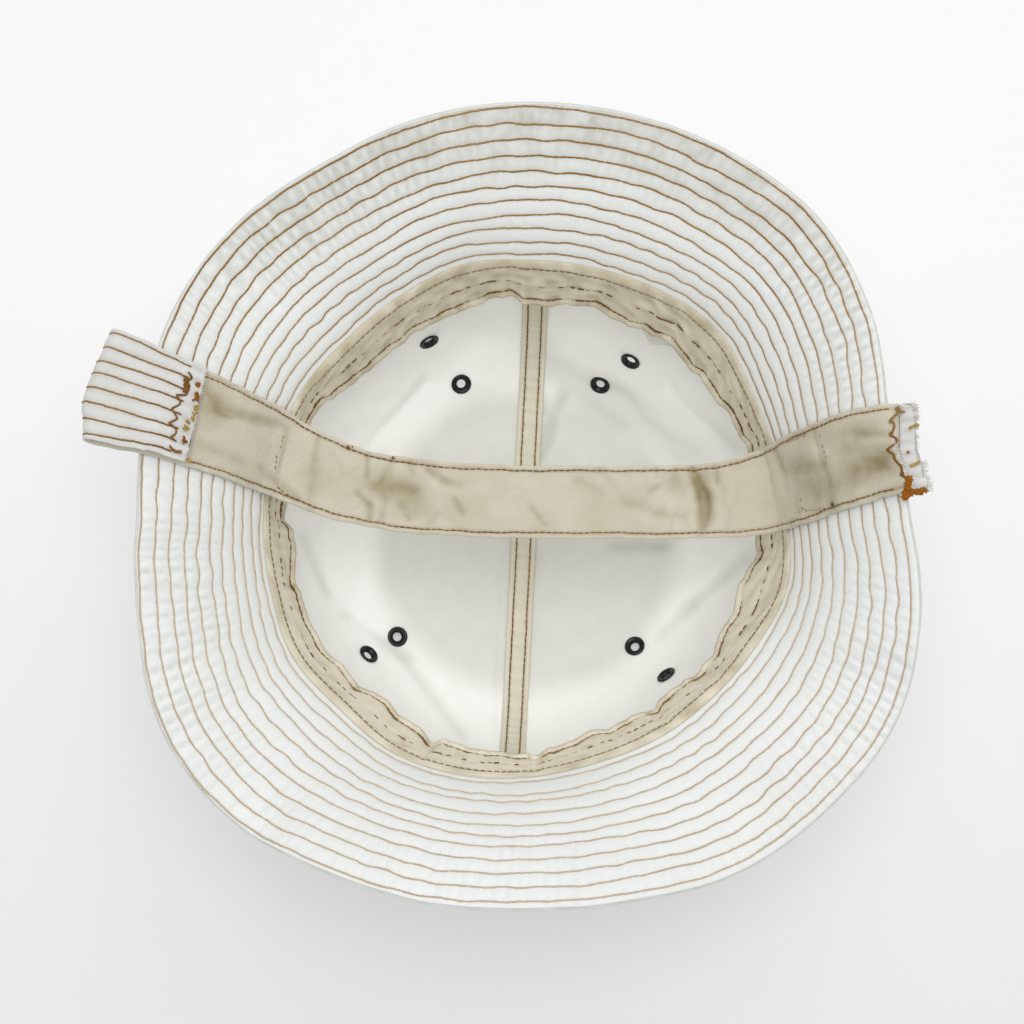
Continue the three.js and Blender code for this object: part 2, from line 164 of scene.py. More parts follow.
def bisect(test, low, high):
    """Where a test turns from true to false between two limits."""
    for _ in range(40):
        middle = (low + high) / 2
        true = test(middle)
        low, high = np.where(true, middle, low), np.where(true, high, middle)
    return low


def polar(azimuth, r, z):
    """Points at directions in degrees round the cap, radii and heights."""
    a = np.radians(azimuth)
    return np.stack([r * np.cos(a), r * np.sin(a), z + 0 * a], -1)


def seen_at(column, row, z):
    """The place in plan of something of height z that the photo shows at a pixel."""
    c, s, h = math.cos(ELEVATION), math.sin(ELEVATION), z - TARGET[2]
    q = (TARGET_PIXEL[1] - row) / FOCAL
    y = (q * (DISTANCE - h * s) - h * c) / (s - q * c)
    return (column - TARGET_PIXEL[0]) / FOCAL * (DISTANCE + y * c - h * s), y


def seen_from_middle(points):
    """Direction in degrees and distance in pixels at which the photo shows points, from TARGET_PIXEL."""
    c, s = math.cos(ELEVATION), math.sin(ELEVATION)
    x, y, h = points[..., 0], points[..., 1], points[..., 2] - TARGET[2]
    scale = FOCAL / (DISTANCE + y * c - h * s)
    right, up = x * scale, (y * s + h * c) * scale
    return np.mod(np.degrees(np.arctan2(up, right)), 360), np.hypot(right, up)


def folds(x, y, table):
    """Height of straight folds at places in plan. A fold has two ends there, a height and a half width."""
    total = 0 * x
    for (x0, y0), (x1, y1), height, width in table:
        dx, dy = x1 - x0, y1 - y0
        length = math.hypot(dx, dy)
        along = ((x - x0) * dx + (y - y0) * dy) / length
        off = ((x - x0) * dy - (y - y0) * dx) / length
        past = np.maximum(0, np.maximum(-along, along - length))
        total += height * hump(off, width) * hump(past, 1.5 * width)
    return total


# The crown's and the brim's surfaces
def crown_section(azimuth, t):
    """Radius, height and inward normal of the crown's outer face, t from 0 at the seam to 1 at the flat."""
    seam = around(azimuth, SEAM)
    handle = around(azimuth, WALL) + 2
    r = [seam, handle, handle, REST_RADIUS]
    z = [CROWN_DEPTH, CROWN_DEPTH * 0.52, 0, 0]
    u = 1 - t
    mix = lambda p: u**3 * p[0] + 3 * u * u * t * p[1] + 3 * u * t * t * p[2] + t**3 * p[3]
    slope = lambda p: u * u * (p[1] - p[0]) + 2 * u * t * (p[2] - p[1]) + t * t * (p[3] - p[2])
    dr, dz = slope(r), slope(z)
    length = np.hypot(dr, dz)
    return mix(r), mix(z), dz / length, -dr / length


# azimuth, radius, lift and spread of the soft dents that the solids have too
DENTS = [(112, 66, 3, 15), (32, 62, 3.5, 14), (305, 64, 2.5, 13), (195, 66, 2.5, 16)]

# Soft folds of the crown where the photo shows them: pixels from and to, height and half width in mm.
CROWN_FOLDS = [
    ((356, 445), (421, 373), -1.3, 2.0), ((674, 371), (742, 443), -1.0, 1.8),
    ((563, 393), (542, 450), -2.2, 2.4), ((553, 404), (555, 412), 1.6, 3.4),
    ((553, 364), (617, 400), -2.2, 6.5), ((617, 400), (681, 450), -2.2, 7.0),
    ((506, 539), (453, 586), 1.7, 3.6), ((535, 546), (567, 571), 1.4, 3.4),
    ((617, 546), (664, 546), -1.4, 2.4), ((749, 555), (689, 604), -1.7, 3.2),
    ((689, 604), (664, 629), -1.4, 3.2), ((299, 532), (321, 586), -1.2, 2.2),
    ((346, 614), (403, 654), -1.3, 2.6), ((403, 654), (460, 732), -1.2, 2.6),
    ((380, 440), (470, 370), 1.3, 9.0), ((590, 640), (690, 590), 1.3, 8.0),
    ((380, 560), (360, 620), 1.2, 6.0), ((600, 330), (700, 400), 1.2, 7.0),
    ((498, 560), (490, 740), 0.7, 1.0), ((470, 660), (400, 600), 0.9, 7.0),
    ((640, 700), (560, 660), 0.9, 6.0),
]


def crown_height_near(x, y):
    """Roughly how high the crown's inner face stands at a place in plan."""
    return 60 * max(0.0, (math.hypot(x, y) - 56) / 34) ** 1.4 + CROWN_CLOTH


def placed(table, height_at):
    """Folds given in the photo's pixels, moved to their places in plan."""
    out = []
    for start, end, height, width in table:
        ends = []
        for column, row in (start, end):
            z = CROWN_DEPTH
            for _ in range(6):
                x, y = seen_at(column, row, z)
                z = 0.5 * z + 0.5 * height_at(x, y)
            ends.append((x, y))
        out.append((*ends, height, width))
    return out


crown_folds = placed(CROWN_FOLDS, crown_height_near)


def crown_point(azimuth, r, z, nr, nz, lift, inside):
    """A point on the crown's cloth, lift above its outer face. inside is 1 on the inner face, else 0."""
    a = np.radians(azimuth)
    x, y = r * np.cos(a), r * np.sin(a)
    dent = 0 * x
    for azimuth0, radius, height, spread in DENTS:
        dx = x - radius * math.cos(math.radians(azimuth0))
        dy = y - radius * math.sin(math.radians(azimuth0))
        dent += height * hump(np.hypot(dx, dy), spread)
    fade = np.clip((r - REST_RADIUS) / 12, 0, 1) * np.clip((CROWN_DEPTH * 0.5 - z) / 20, 0, 1)
    wobble = 0.55 * noise2(x, y + z, 5, 26) + 0.22 * noise2(x, y + z, 6, 10)
    below = smooth(CROWN_DEPTH - z, 36, 50)
    moved = below * (folds(x, y, crown_folds) + wobble)
    resting = 1 - smooth(z, 0.5, 5)
    floor = -0.8 * inside * resting - 3.0 * (1 - resting)
    up = lift + dent * fade + np.maximum(moved, floor)
    return np.stack([x + up * nr * np.cos(a), y + up * nr * np.sin(a), z + up * nz], -1)


def crown_at_depth(azimuth, depth):
    """The crown's section where it lies this far below the brim's seam."""
    above = lambda t: CROWN_DEPTH - crown_section(azimuth, t)[1] < depth
    return crown_section(azimuth, bisect(above, 0 * (azimuth + depth), 0 * (azimuth + depth) + 1.0))


def on_crown(x, y, lift, inside=1):
    """A point on the crown over a place in plan."""
    azimuth, radius = np.degrees(np.arctan2(y, x)), np.hypot(x, y)
    t = bisect(lambda t: crown_section(azimuth, t)[0] > radius, 0.0 * x, 0.0 * x + 1)
    z, nr, nz = crown_section(azimuth, t)[1:]
    flat = radius <= REST_RADIUS
    z, nr, nz = np.where(flat, 0, z), np.where(flat, 0, nr), np.where(flat, 1, nz)
    return crown_point(azimuth, radius, z, nr, nz, lift, inside)


def brim_section(azimuth, s):
    """Radius, height and upward normal of the brim's middle, s along the cloth from the seam."""
    seam = around(azimuth, SEAM)
    reach = around(azimuth, EDGE) - seam
    mean = np.arccos(np.clip(reach * BRIM_EASE / (BRIM_WIDTH * math.sin(BRIM_EASE)), 0, 1))
    start = mean + BRIM_EASE
    arc = BRIM_WIDTH / (2 * BRIM_EASE)
    slope = start - s / arc
    r = seam - GAP + arc * (np.sin(start) - np.sin(slope))
    z = CROWN_DEPTH + GAP + BRIM_CLOTH / 2 * np.cos(start) + arc * (np.cos(slope) - np.cos(start))
    return r, z, -np.sin(slope), np.cos(slope)


def brim_sway(azimuth, s):
    """Slight hand-made unevenness of the whole brim."""
    return smooth(s, 4, BRIM_WIDTH) * (0.9 * waves(azimuth, 31, 5, 13) + 0.35 * waves(azimuth, 32, 20, 44))


def on_brim(azimuth, s, lift):
    r, z, nr, nz = brim_section(azimuth, s)
    up = lift + brim_sway(azimuth, s)
    return polar(azimuth, r + nr * up, z + nz * up)


# azimuth, and how far inside the edge the outermost row of stitching runs there
MARGINS = [
    (0, 2.2), (30, 1.6), (60, 1.5), (90, 1.6), (150, 0.8), (180, 0.4), (220, 0.8), (270, 2.0), (320, 3.2),
    (345, 2.8),
]
# At the front the inner rows bunch up: the row's number from the edge, and how far it moves outwards.
BUNCHED = [(4, 0.0), (5, 0.9), (6, 1.6), (7, 1.6), (8, 0.8), (9, 2.2), (10, 0.0)]
FRONT, FRONT_HALF = 266, 26


def row_at(azimuth, k):
    """Where the brim's k-th row of stitching runs, counted from the edge."""
    margin = np.interp(np.mod(azimuth, 360), *zip(*MARGINS), period=360)
    wander = 0.36 * waves(azimuth, 100 + k, 3, 17) + 0.24 * waves(azimuth, 200 + k, 25, 80)
    shift = (BRIM_WIDTH - FIRST_ROW - margin) * max(0, 1 - k / 3)
    shift = shift + np.interp(k, *zip(*BUNCHED)) * plateau(azimuth, FRONT, FRONT_HALF)
    return FIRST_ROW - ROW_PITCH * k + shift + wander * (0.5 if k == 0 else 1)


PUCKER_TURNS = 196  # this many puckers go round the brim
# Where the cloth between the outer rows puckers most: azimuth, half spread and strength.
PUCKERS = [(30, 18, 1.0), (128, 26, 0.8), (200, 24, 1.0), (330, 18, 1.0), (75, 20, 0.25), (260, 40, 0.4)]


def pucker_strength(azimuth):
    strength = 0.06 + 0 * azimuth
    for centre, spread, height in PUCKERS:
        strength = strength + height * hump(turned(azimuth, centre), spread)
    return strength


def pucker(azimuth, s):
    phase = np.radians(azimuth) * PUCKER_TURNS + 2.6 * waves(azimuth, 41, 6, 30) + 0.1 * s
    ripple = np.sin(phase) + 0.4 * np.sin(1.7 * phase + 0.4 * s) + 0.3 * waves(azimuth, 42, 90, 240)
    return pucker_strength(azimuth) * ripple * smooth(s, 12, 54)


def brim_relief(azimuth, s):
    """Height of the quilted face over its plain one."""
    rows = np.stack([row_at(azimuth, k) + 0 * s for k in range(ROW_COUNT)])
    between = np.clip(np.min(np.abs(rows - s), axis=0) / (ROW_PITCH / 2), 0, 1)
    puff = 0.5 * np.sqrt(np.clip(1 - (1 - between) ** 2, 0, 1))
    return puff - 0.32 + 0.42 * pucker(azimuth, s) * between


# Meshes
def add_object(name, data):
    made = bpy.data.objects.new(name, data)
    bpy.context.scene.collection.objects.link(made)
    return made


def add_piece(name, mesh, material):
    mesh.polygons.foreach_set("use_smooth", np.ones(len(mesh.polygons), bool))
    mesh.materials.append(material)
    piece = add_object(name, mesh)
    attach(piece, "root")
    return piece


def fill_mesh(name, points, quads, others):
    """A mesh from points in mm, an array of quads and an array of faces with another number of corners."""
    mesh = bpy.data.meshes.new(name)
    loops = np.concatenate([quads.ravel(), others.ravel()])
    starts = np.arange(len(quads)) * 4
    starts = np.concatenate([starts, quads.size + np.arange(len(others)) * others.shape[1]])
    mesh.vertices.add(len(points))
    mesh.vertices.foreach_set("co", (points * 0.001).astype(np.float32).ravel())
    mesh.loops.add(len(loops))
    mesh.loops.foreach_set("vertex_index", loops.astype(np.int32))
    mesh.polygons.add(len(starts))
    mesh.polygons.foreach_set("loop_start", starts.astype(np.int32))
    mesh.update(calc_edges=True)
    return mesh


def build(name, grid, material, uv, wrap=False, caps=False, wear_and_shade=None, drop=None, bridge=None):
    """A closed piece from a grid of points [row, column] in mm whose columns close on themselves.

    wrap closes its rows too and caps closes its ends. drop marks quads to leave out, and bridge holds quads of
    point numbers that join up what is left. The argument for wear and shade says how far each point's colour
    goes towards its cloth's worn colour: wear and dirt, and painted shade.
    """
    rows, columns = grid.shape[:2]
    last = rows if wrap else rows - 1
    i, j = (q.ravel() for q in np.meshgrid(np.arange(last), np.arange(columns), indexing="ij"))
    if drop is not None:
        i, j = i[~drop.ravel()], j[~drop.ravel()]
    row = np.stack([i, i + 1, i + 1, i], 1) % rows
    column = np.stack([j, j, j + 1, j + 1], 1)
    if bridge is not None:
        row, column = np.vstack([row, bridge // columns]), np.vstack([column, bridge % columns])
    quads = row * columns + column % columns
    points = grid.reshape(-1, 3)
    fans = np.zeros((0, 3), int)
    if caps:
        count = len(points)
        points = np.vstack([points, grid[0].mean(0), grid[-1].mean(0)])
        ring, ahead = np.arange(columns), (np.arange(columns) + 1) % columns
        end = (rows - 1) * columns
        first = np.stack([ring, ahead, np.full(columns, count)], 1)
        second = np.stack([end + ahead, end + ring, np.full(columns, count + 1)], 1)
        fans = np.vstack([first, second])
    corner = lambda faces, q: points[faces[:, q]]
    volume = 0.0
    for faces, b, c in ((quads, 1, 2), (quads, 2, 3), (fans, 1, 2)):
        volume += np.einsum("ij,ij->", corner(faces, 0), np.cross(corner(faces, b), corner(faces, c)))
    if volume < 0:
        quads, row, column, fans = quads[:, ::-1], row[:, ::-1], column[:, ::-1], fans[:, ::-1]
    mesh = fill_mesh(name, points, quads, fans)
    u, v = (np.broadcast_to(q, (rows, columns)) for q in uv)
    u = np.concatenate([u, 2 * u[:, -1:] - u[:, -2:-1]], 1)
    v = np.concatenate([v, v[:, :1]], 1)
    flat = np.zeros((len(mesh.loops), 2), np.float32)
    flat[: row.size, 0], flat[: row.size, 1] = u[row, column].ravel(), v[row, column].ravel()
    mesh.uv_layers.new(name="cloth").data.foreach_set("uv", flat.ravel())
    if wear_and_shade is not None:
        worn = np.zeros(len(points), np.float32)
        worn[: rows * columns] = np.broadcast_to(wear_and_shade, (rows, columns)).ravel()
        mesh.attributes.new("wear_and_shade", "FLOAT", "POINT").data.foreach_set("value", worn)
    return add_piece(name, mesh, material)


SIDES = 4
RING = np.arange(SIDES) * 2 * math.pi / SIDES


def threads(name, runs, radius, material):
    """Many closed tubes. Each run has centre points and ways up [tube, point, 3] and a swell [point]."""
    points, quads, ends, base = [], [], [], 0
    for centres, ups, swell in runs:
        count, steps = centres.shape[:2]
        along = unit(np.gradient(centres, axis=1))
        side = unit(np.cross(along, ups))
        up = np.cross(side, along)
        round_it = side[:, :, None] * np.cos(RING)[:, None] + up[:, :, None] * np.sin(RING)[:, None]
        points.append((centres[:, :, None] + radius * swell[None, :, None, None] * round_it).reshape(-1, 3))
        i, j, q = np.meshgrid(np.arange(count), np.arange(steps - 1), np.arange(SIDES), indexing="ij")
        at = lambda jj, qq: base + (i * steps + jj) * SIDES + qq % SIDES
        quads.append(np.stack([at(j, q), at(j, q + 1), at(j + 1, q + 1), at(j + 1, q)], -1).reshape(-1, 4))
        first = base + np.arange(count)[:, None] * steps * SIDES + np.arange(SIDES)[None, :]
        ends += [first[:, ::-1], first + (steps - 1) * SIDES]
        base += count * steps * SIDES
    mesh = fill_mesh(name, np.vstack(points), np.vstack(quads), np.vstack(ends))
    return add_piece(name, mesh, material)


# A stitch has four rings of points: where they lie along it, and how thick it is there.
STITCH = np.array([-0.5, -0.3, 0.3, 0.5])
SWELL = np.array([0.8, 1.0, 1.0, 0.8])
# From one stitch to the next and the thread's radius, for each kind of row.
TOPSTITCH, BRIM_STITCH = (2.7, 0.27), (2.7, 0.36)
BAND_STITCH, ROOT_STITCH, TAPE_STITCH = (2.5, 0.37), (2.5, 0.32), (2.5, 0.29)
LINING_STITCH, FACE_STITCH, BOX_STITCH = (2.3, 0.28), (2.7, 0.34), (1.9, 0.26)


def stitch_run(path, ups, pitch, radius, seed, fill=1.0, jitter=0.03, skip=0.0, sink=0.6):
    """Stitches along a line of points on the cloth. Their ends are drawn in by sink times the radius."""
    rng = np.random.default_rng(seed)
    at = run_along(path)
    count = max(1, int(at[-1] / pitch))
    middle = (np.arange(count) + 0.5) * at[-1] / count + rng.uniform(-jitter, jitter, count) * pitch
    middle = middle[rng.uniform(size=count) >= skip]
    size = pitch * fill * rng.uniform(0.92, 1.06, len(middle))
    spots = np.clip(middle[:, None] + size[:, None] * STITCH, 0, at[-1])
    centres, up = resample(spots, at, path), unit(resample(spots, at, ups))
    side = unit(np.cross(up, np.gradient(centres, axis=1)))
    drift = rng.uniform(-0.1, 0.1, (len(middle), 1, 1)) + (0.3 * radius * STITCH)[None, :, None]
    rise = radius * np.array([-sink, 0.25, 0.25, -sink])
    return centres + up * rise[None, :, None] + side * drift, up, SWELL


# Materials
def rgb(red, green, blue):
    """A colour as a screen shows it, 0 to 255, in the linear numbers that shaders take."""
    linear = lambda c: ((c / 255 + 0.055) / 1.055) ** 2.4 if c > 10 else c / 3294.6
    return [linear(red), linear(green), linear(blue), 1.0]


class Nodes:
    """Short names for putting a material's nodes together."""

    def __init__(self, name):
        self.material = bpy.data.materials.new(name)
        self.material.use_nodes = True
        self.tree = self.material.node_tree
        self.tree.nodes.clear()
        self.shader = self.tree.nodes.new("ShaderNodeBsdfPrincipled")
        self.link(self.shader.outputs[0], self.tree.nodes.new("ShaderNodeOutputMaterial").inputs["Surface"])
        self.place = self.tree.nodes.new("ShaderNodeTexCoord")

    def link(self, a, b):
        self.tree.links.new(a, b)

    def put(self, socket, value):
        if hasattr(value, "is_output"):
            self.link(value, socket)
        else:
            socket.default_value = value

    def fill(self, node, inputs):
        for name, value in inputs.items():
            self.put(node.inputs[name.replace("_", " ")], value)
        return node

    def node(self, kind, **inputs):
        return self.fill(self.tree.nodes.new("ShaderNode" + kind), inputs)

    def shade(self, **inputs):
        self.fill(self.shader, inputs)

    def axis(self, name):
        """How far along X, Y or Z a place lies, in metres."""
        apart = self.node("SeparateXYZ")
        self.link(self.place.outputs["Object"], apart.inputs[0])
        return apart.outputs[name]

    def noise(self, scale, detail=3.0, rough=0.5):
        made = self.node("TexNoise", Scale=scale, Detail=detail, Roughness=rough)
        self.link(self.place.outputs["Object"], made.inputs["Vector"])
        return made.outputs["Fac"]

    def ramp(self, value, low, high, to_low=0.0, to_high=1.0):
        made = self.node("MapRange", Value=value, From_Min=low, From_Max=high, To_Min=to_low, To_Max=to_high)
        return made.outputs["Result"]

    def math(self, kind, a, b=0.0):
        made = self.node("Math")
        made.operation = kind
        self.put(made.inputs[0], a)
        self.put(made.inputs[1], b)
        return made.outputs[0]

    def mix(self, share, a, b):
        made = self.node("Mix")
        made.data_type = "RGBA"
        self.put(made.inputs["Factor"], share)
        self.put(made.inputs[6], a)
        self.put(made.inputs[7], b)
        return made.outputs[2]

    def spot(self, centre, inner, outer):
        """1 within inner mm of a place, falling to 0 at outer mm."""
        away = self.node("VectorMath")
        away.operation = "DISTANCE"
        self.link(self.place.outputs["Object"], away.inputs[0])
        away.inputs[1].default_value = [c * 0.001 for c in centre]
        return self.ramp(away.outputs["Value"], inner * 0.001, outer * 0.001, 1.0, 0.0)

    def ribs(self, period, tilt):
        """Fine slanted ribs of the weave, from the map of the cloth in mm."""
        turn = self.node("Mapping", Rotation=(0, 0, tilt))
        self.link(self.place.outputs["UV"], turn.inputs["Vector"])
        made = self.node("TexWave", Scale=0.314 / period, Distortion=1.2, Detail=1.5, Detail_Scale=1.2)
        self.link(turn.outputs[0], made.inputs["Vector"])
        return made.outputs["Fac"]

    def bump(self, height, strength, distance, normal=None):
        made = self.node("Bump", Strength=strength, Distance=distance, Height=height)
        if normal:
            self.link(normal, made.inputs["Normal"])
        return made.outputs["Normal"]


def cloth(name, light, dark, worn, blotch, amount=0.5, period=0.7, tilt=0.8, rib=0.3, rib_tone=0.1,
          stains=(), glow=0.0, even=0.45):
    """Matt cotton: a slow change between two tones, fibres, a slanted weave, wear and painted shade, and spots
    of stain.

    blotch and amount say how fine and how strong the change of tone is. period, tilt, rib and rib_tone are the
    weave's ribs: mm apart, slant, height and tone. glow is a painted glow that stands for the little light that
    comes through a single layer from its far side, and even says how smooth the wear and the painted shade are.
    """
    n = Nodes(name)
    slow = n.ramp(n.noise(blotch, 4.0, 0.6), 0.35, 0.7)
    fibres = n.ramp(n.noise(1100.0, 3.0, 0.7), 0.3, 0.7)
    tone = n.mix(n.math("MULTIPLY", slow, amount), light, dark)
    tone = n.mix(n.math("MULTIPLY", fibres, 0.22), tone, dark)
    patchy = n.ramp(n.noise(110.0, 4.0, 0.6), 0.3, 0.65, even, 1.0)
    # The attribute that each piece carries darkens towards the worn colour, for wear and dirt and for painted
    # shade.
    wear_and_shade = n.node("Attribute")
    wear_and_shade.attribute_name = "wear_and_shade"
    tone = n.mix(n.math("MULTIPLY", wear_and_shade.outputs["Fac"], patchy), tone, worn)
    for centre, inner, outer, colour, share in stains:
        patch = n.math("MULTIPLY", n.spot(centre, inner, outer), patchy)
        tone = n.mix(n.math("MULTIPLY", patch, share), tone, colour)
    weave = n.ribs(period, tilt)
    tone = n.mix(n.math("MULTIPLY", weave, rib_tone), tone, worn)
    soft = n.bump(n.noise(700.0, 4.0, 0.6), 0.25, 0.0004)
    n.shade(
        Base_Color=tone, Emission_Color=tone, Emission_Strength=glow, Sheen_Weight=0.12, Sheen_Roughness=0.5,
        Roughness=n.ramp(n.noise(900.0), 0.3, 0.7, 0.84, 0.98), Specular_IOR_Level=0.15,
        Normal=n.bump(weave, rib, 0.0002, soft),
    )
    return n.material


def thread_material(name, colour, other, front=None):
    """Twisted cotton thread, faded unevenly, and turning to the front colour towards the brim's front."""
    n = Nodes(name)
    tone = n.mix(n.ramp(n.noise(30.0, 3.0), 0.35, 0.65), colour, other)
    if front:
        patch = n.ramp(n.noise(16.0, 3.0), 0.3, 0.7, -0.2, 0.2)
        tone = n.mix(n.math("ADD", n.ramp(n.axis("Y"), 0.1, -0.05), patch), tone, front)
    twist = n.noise(2600.0, 2.0)
    tone = n.mix(n.ramp(twist, 0.35, 0.65, 0.0, 0.2), tone, rgb(84, 58, 22))
    n.shade(Base_Color=tone, Roughness=0.75, Specular_IOR_Level=0.2, Normal=n.bump(twist, 0.4, 0.0002))
    return n.material


def eyelet_material():
    """Black lacquered metal, a little rubbed."""
    n = Nodes("black_lacquer")
    worn = n.ramp(n.noise(900.0, 4.0), 0.58, 0.75, 0.0, 0.3)
    n.shade(
        Base_Color=n.mix(worn, rgb(16, 16, 18), rgb(74, 74, 72)), Metallic=0.2,
        Roughness=n.ramp(n.noise(400.0), 0.3, 0.7, 0.22, 0.42), Normal=n.bump(n.noise(1500.0), 0.12, 0.0002),
    )
    return n.material


# A brownish grey that the seam tape darkens to as painted shade, and the strap's lining as painted shade and
# other marks.
DIRT_AND_SHADE = rgb(150, 138, 102)
# Painted light and shade: the crown's cloth glows a little, standing for the light that comes through it, and
# its worn colour is its painted shade.
crown_cloth = cloth(
    "crown_cotton", rgb(252, 253, 252), rgb(246, 247, 244), rgb(206, 207, 199), 22.0,
    rib_tone=0.03, glow=0.04, even=0.85,
)
# The brim's worn colour is mostly its painted shade.
brim_cloth = cloth(
    "brim_cotton", rgb(240, 243, 242), rgb(230, 232, 229), rgb(184, 183, 170), 18.0, 0.6,
    tilt=0.3, rib=0.14, rib_tone=0.05,
)
# The strap face's worn colour is its painted shade along the rows.
face_cloth = cloth(
    "strap_cotton", rgb(232, 233, 232), rgb(206, 205, 201), rgb(170, 165, 152), 30.0, 0.6, rib_tone=0.06,
)
# The band's worn colour serves both its painted shade and its darkening near the lip.
band_cloth = cloth(
    "band_twill", rgb(253, 247, 230), rgb(240, 232, 208), rgb(158, 142, 98), 34.0, 0.7,
    period=0.8, rib=0.5, rib_tone=0.16,
)
tape_cloth = cloth("tape_twill", rgb(232, 228, 212), rgb(214, 208, 188), DIRT_AND_SHADE, 40.0, 0.5, rib_tone=0.1)
label_cloth = cloth(
    "label_tape", rgb(238, 238, 231), rgb(228, 228, 219), rgb(204, 202, 190), 60.0, 0.3, period=0.5,
)
brown_thread = thread_material("brown_thread", rgb(132, 92, 40), rgb(170, 132, 74))
row_thread = thread_material("row_thread", rgb(152, 112, 54), rgb(172, 134, 80), rgb(212, 193, 168))
band_thread = thread_material("band_thread", rgb(120, 84, 30), rgb(156, 124, 70))
plain_thread = thread_material("plain_thread", rgb(132, 114, 74), rgb(166, 152, 114))
orange_thread = thread_material("orange_thread", rgb(164, 100, 22), rgb(120, 68, 12))
gold_thread = thread_material("gold_thread", rgb(196, 166, 88), rgb(176, 140, 66))
white_thread = thread_material("white_thread", rgb(236, 235, 229), rgb(216, 211, 196))
lacquer = eyelet_material()

# Eyelets, and the crown with its holes for them
# azimuth and radius in plan
EYELETS = [
    (117, 86), (113, 70), (60, 82.5), (65.5, 68.7), (216, 77.6), (216, 63.7), (315.5, 59.3), (315, 76.5),
]
CLOTH_HOLE, EYELET_RADIUS, EYELET_SPOKES = 2.7, 3.8, 48
# radius and height of the rolled metal ring, over the inner face, down the hole and back under the outer face
RING_PROFILE = [
    (2.5, 0.0), (2.55, 0.75), (3.4, 0.82), (3.8, 0.95), (3.95, 1.2), (3.8, 1.5), (3.4, 1.7), (2.9, 1.6),
    (2.4, 1.25), (1.95, 0.85), (1.68, 0.35), (1.75, -0.1), (2.15, -0.5), (2.6, -1.0), (2.9, -1.3),
    (3.3, -1.42), (3.7, -1.36), (3.9, -1.15), (3.8, -0.95), (3.3, -0.82), (2.55, -0.75),
]


def eyelet_seat(azimuth, radius):
    """Centre and axis of an eyelet on the middle of the crown's cloth."""
    x, y = radius * math.cos(math.radians(azimuth)), radius * math.sin(math.radians(azimuth))
    at = lambda dx, dy: on_crown(np.array([x + dx]), np.array([y + dy]), CROWN_CLOTH / 2)[0]
    ends = [at(dx * EYELET_RADIUS, dy * EYELET_RADIUS) for dx, dy in ((1, 0), (-1, 0), (0, 1), (0, -1))]
    axis = unit(np.cross(ends[0] - ends[1], ends[2] - ends[3]))
    return 0.5 * at(0, 0) + 0.5 * np.mean(ends, axis=0), axis


seats = [eyelet_seat(*place) for place in EYELETS]
for index, (centre, axis) in enumerate(seats, 1):
    side = unit(np.cross(axis, [0.0, 1.0, 0.0]))
    turn = np.arange(EYELET_SPOKES) * 2 * math.pi / EYELET_SPOKES
    spokes = np.cos(turn)[:, None] * side + np.sin(turn)[:, None] * np.cross(axis, side)
    grid = np.stack([centre + r * spokes + h * axis for r, h in RING_PROFILE])
    ring_uv = (turn * 3, np.arange(len(RING_PROFILE))[:, None] * 0.6)
    piece = build(f"eyelet_{index}_ring", grid, lacquer, ring_uv, wrap=True)
    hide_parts(f"eyelet_{index}")

CROWN_COLUMNS = 420
SEAM_GROOVE, GROOVE_HALF, SEAM_ROW = 0.7, 1.3, 4.6
# Mean radii of the crown, the brim and the band, which the maps of their cloths are laid out with.
CROWN_MEAN, BRIM_MEAN, BAND_MEAN = 85, 120, 90
crown_turns = np.arange(CROWN_COLUMNS) * 360.0 / CROWN_COLUMNS
wall_steps = 1 - (1 - np.linspace(0, 1, 56)) ** 1.15  # from the seam, closer together near the flat
flat_rings = np.linspace(REST_RADIUS, 0.6, 23)[1:]


def crown_face(inside):
    rows = [crown_section(crown_turns, t) for t in wall_steps]
    still = 0 * crown_turns
    rows += [(still + radius, still, still, still + 1) for radius in flat_rings]
    return np.stack([crown_point(crown_turns, *row, CROWN_CLOTH * inside, inside) for row in rows])


def seam_groove(points, depth):
    """Draws the outer face in along the centre seam."""
    off = (points[..., 0] - SEAM_X) * math.cos(SEAM_LEAN) - points[..., 1] * math.sin(SEAM_LEAN)
    inward = -points.copy()
    inward[..., 2] = CROWN_DEPTH - points[..., 2]
    inward[points[..., 2] < 0.8] = (0, 0, 1)
    return points + unit(inward) * (depth * hump(off, GROOVE_HALF))[..., None]


inner, outer = crown_face(1), seam_groove(crown_face(0), SEAM_GROOVE)
face_rows = len(inner)
centres = (inner[:-1] + inner[1:]) / 2
centres = (centres + np.roll(centres, -1, axis=1)) / 2
open_quads = np.zeros(centres.shape[:2], bool)
for centre, axis in seats:
    open_quads |= np.linalg.norm(centres - centre, axis=-1) < CLOTH_HOLE
# Points of the inner and outer face in the joined grid, which runs from the inner middle to the outer one.
inside_at = lambda t, j: (face_rows - 1 - t) * CROWN_COLUMNS + j % CROWN_COLUMNS
outside_at = lambda t, j: (face_rows + t) * CROWN_COLUMNS + j % CROWN_COLUMNS
drop = np.zeros((2 * face_rows - 1, CROWN_COLUMNS), bool)
bridge, rims = [], set()
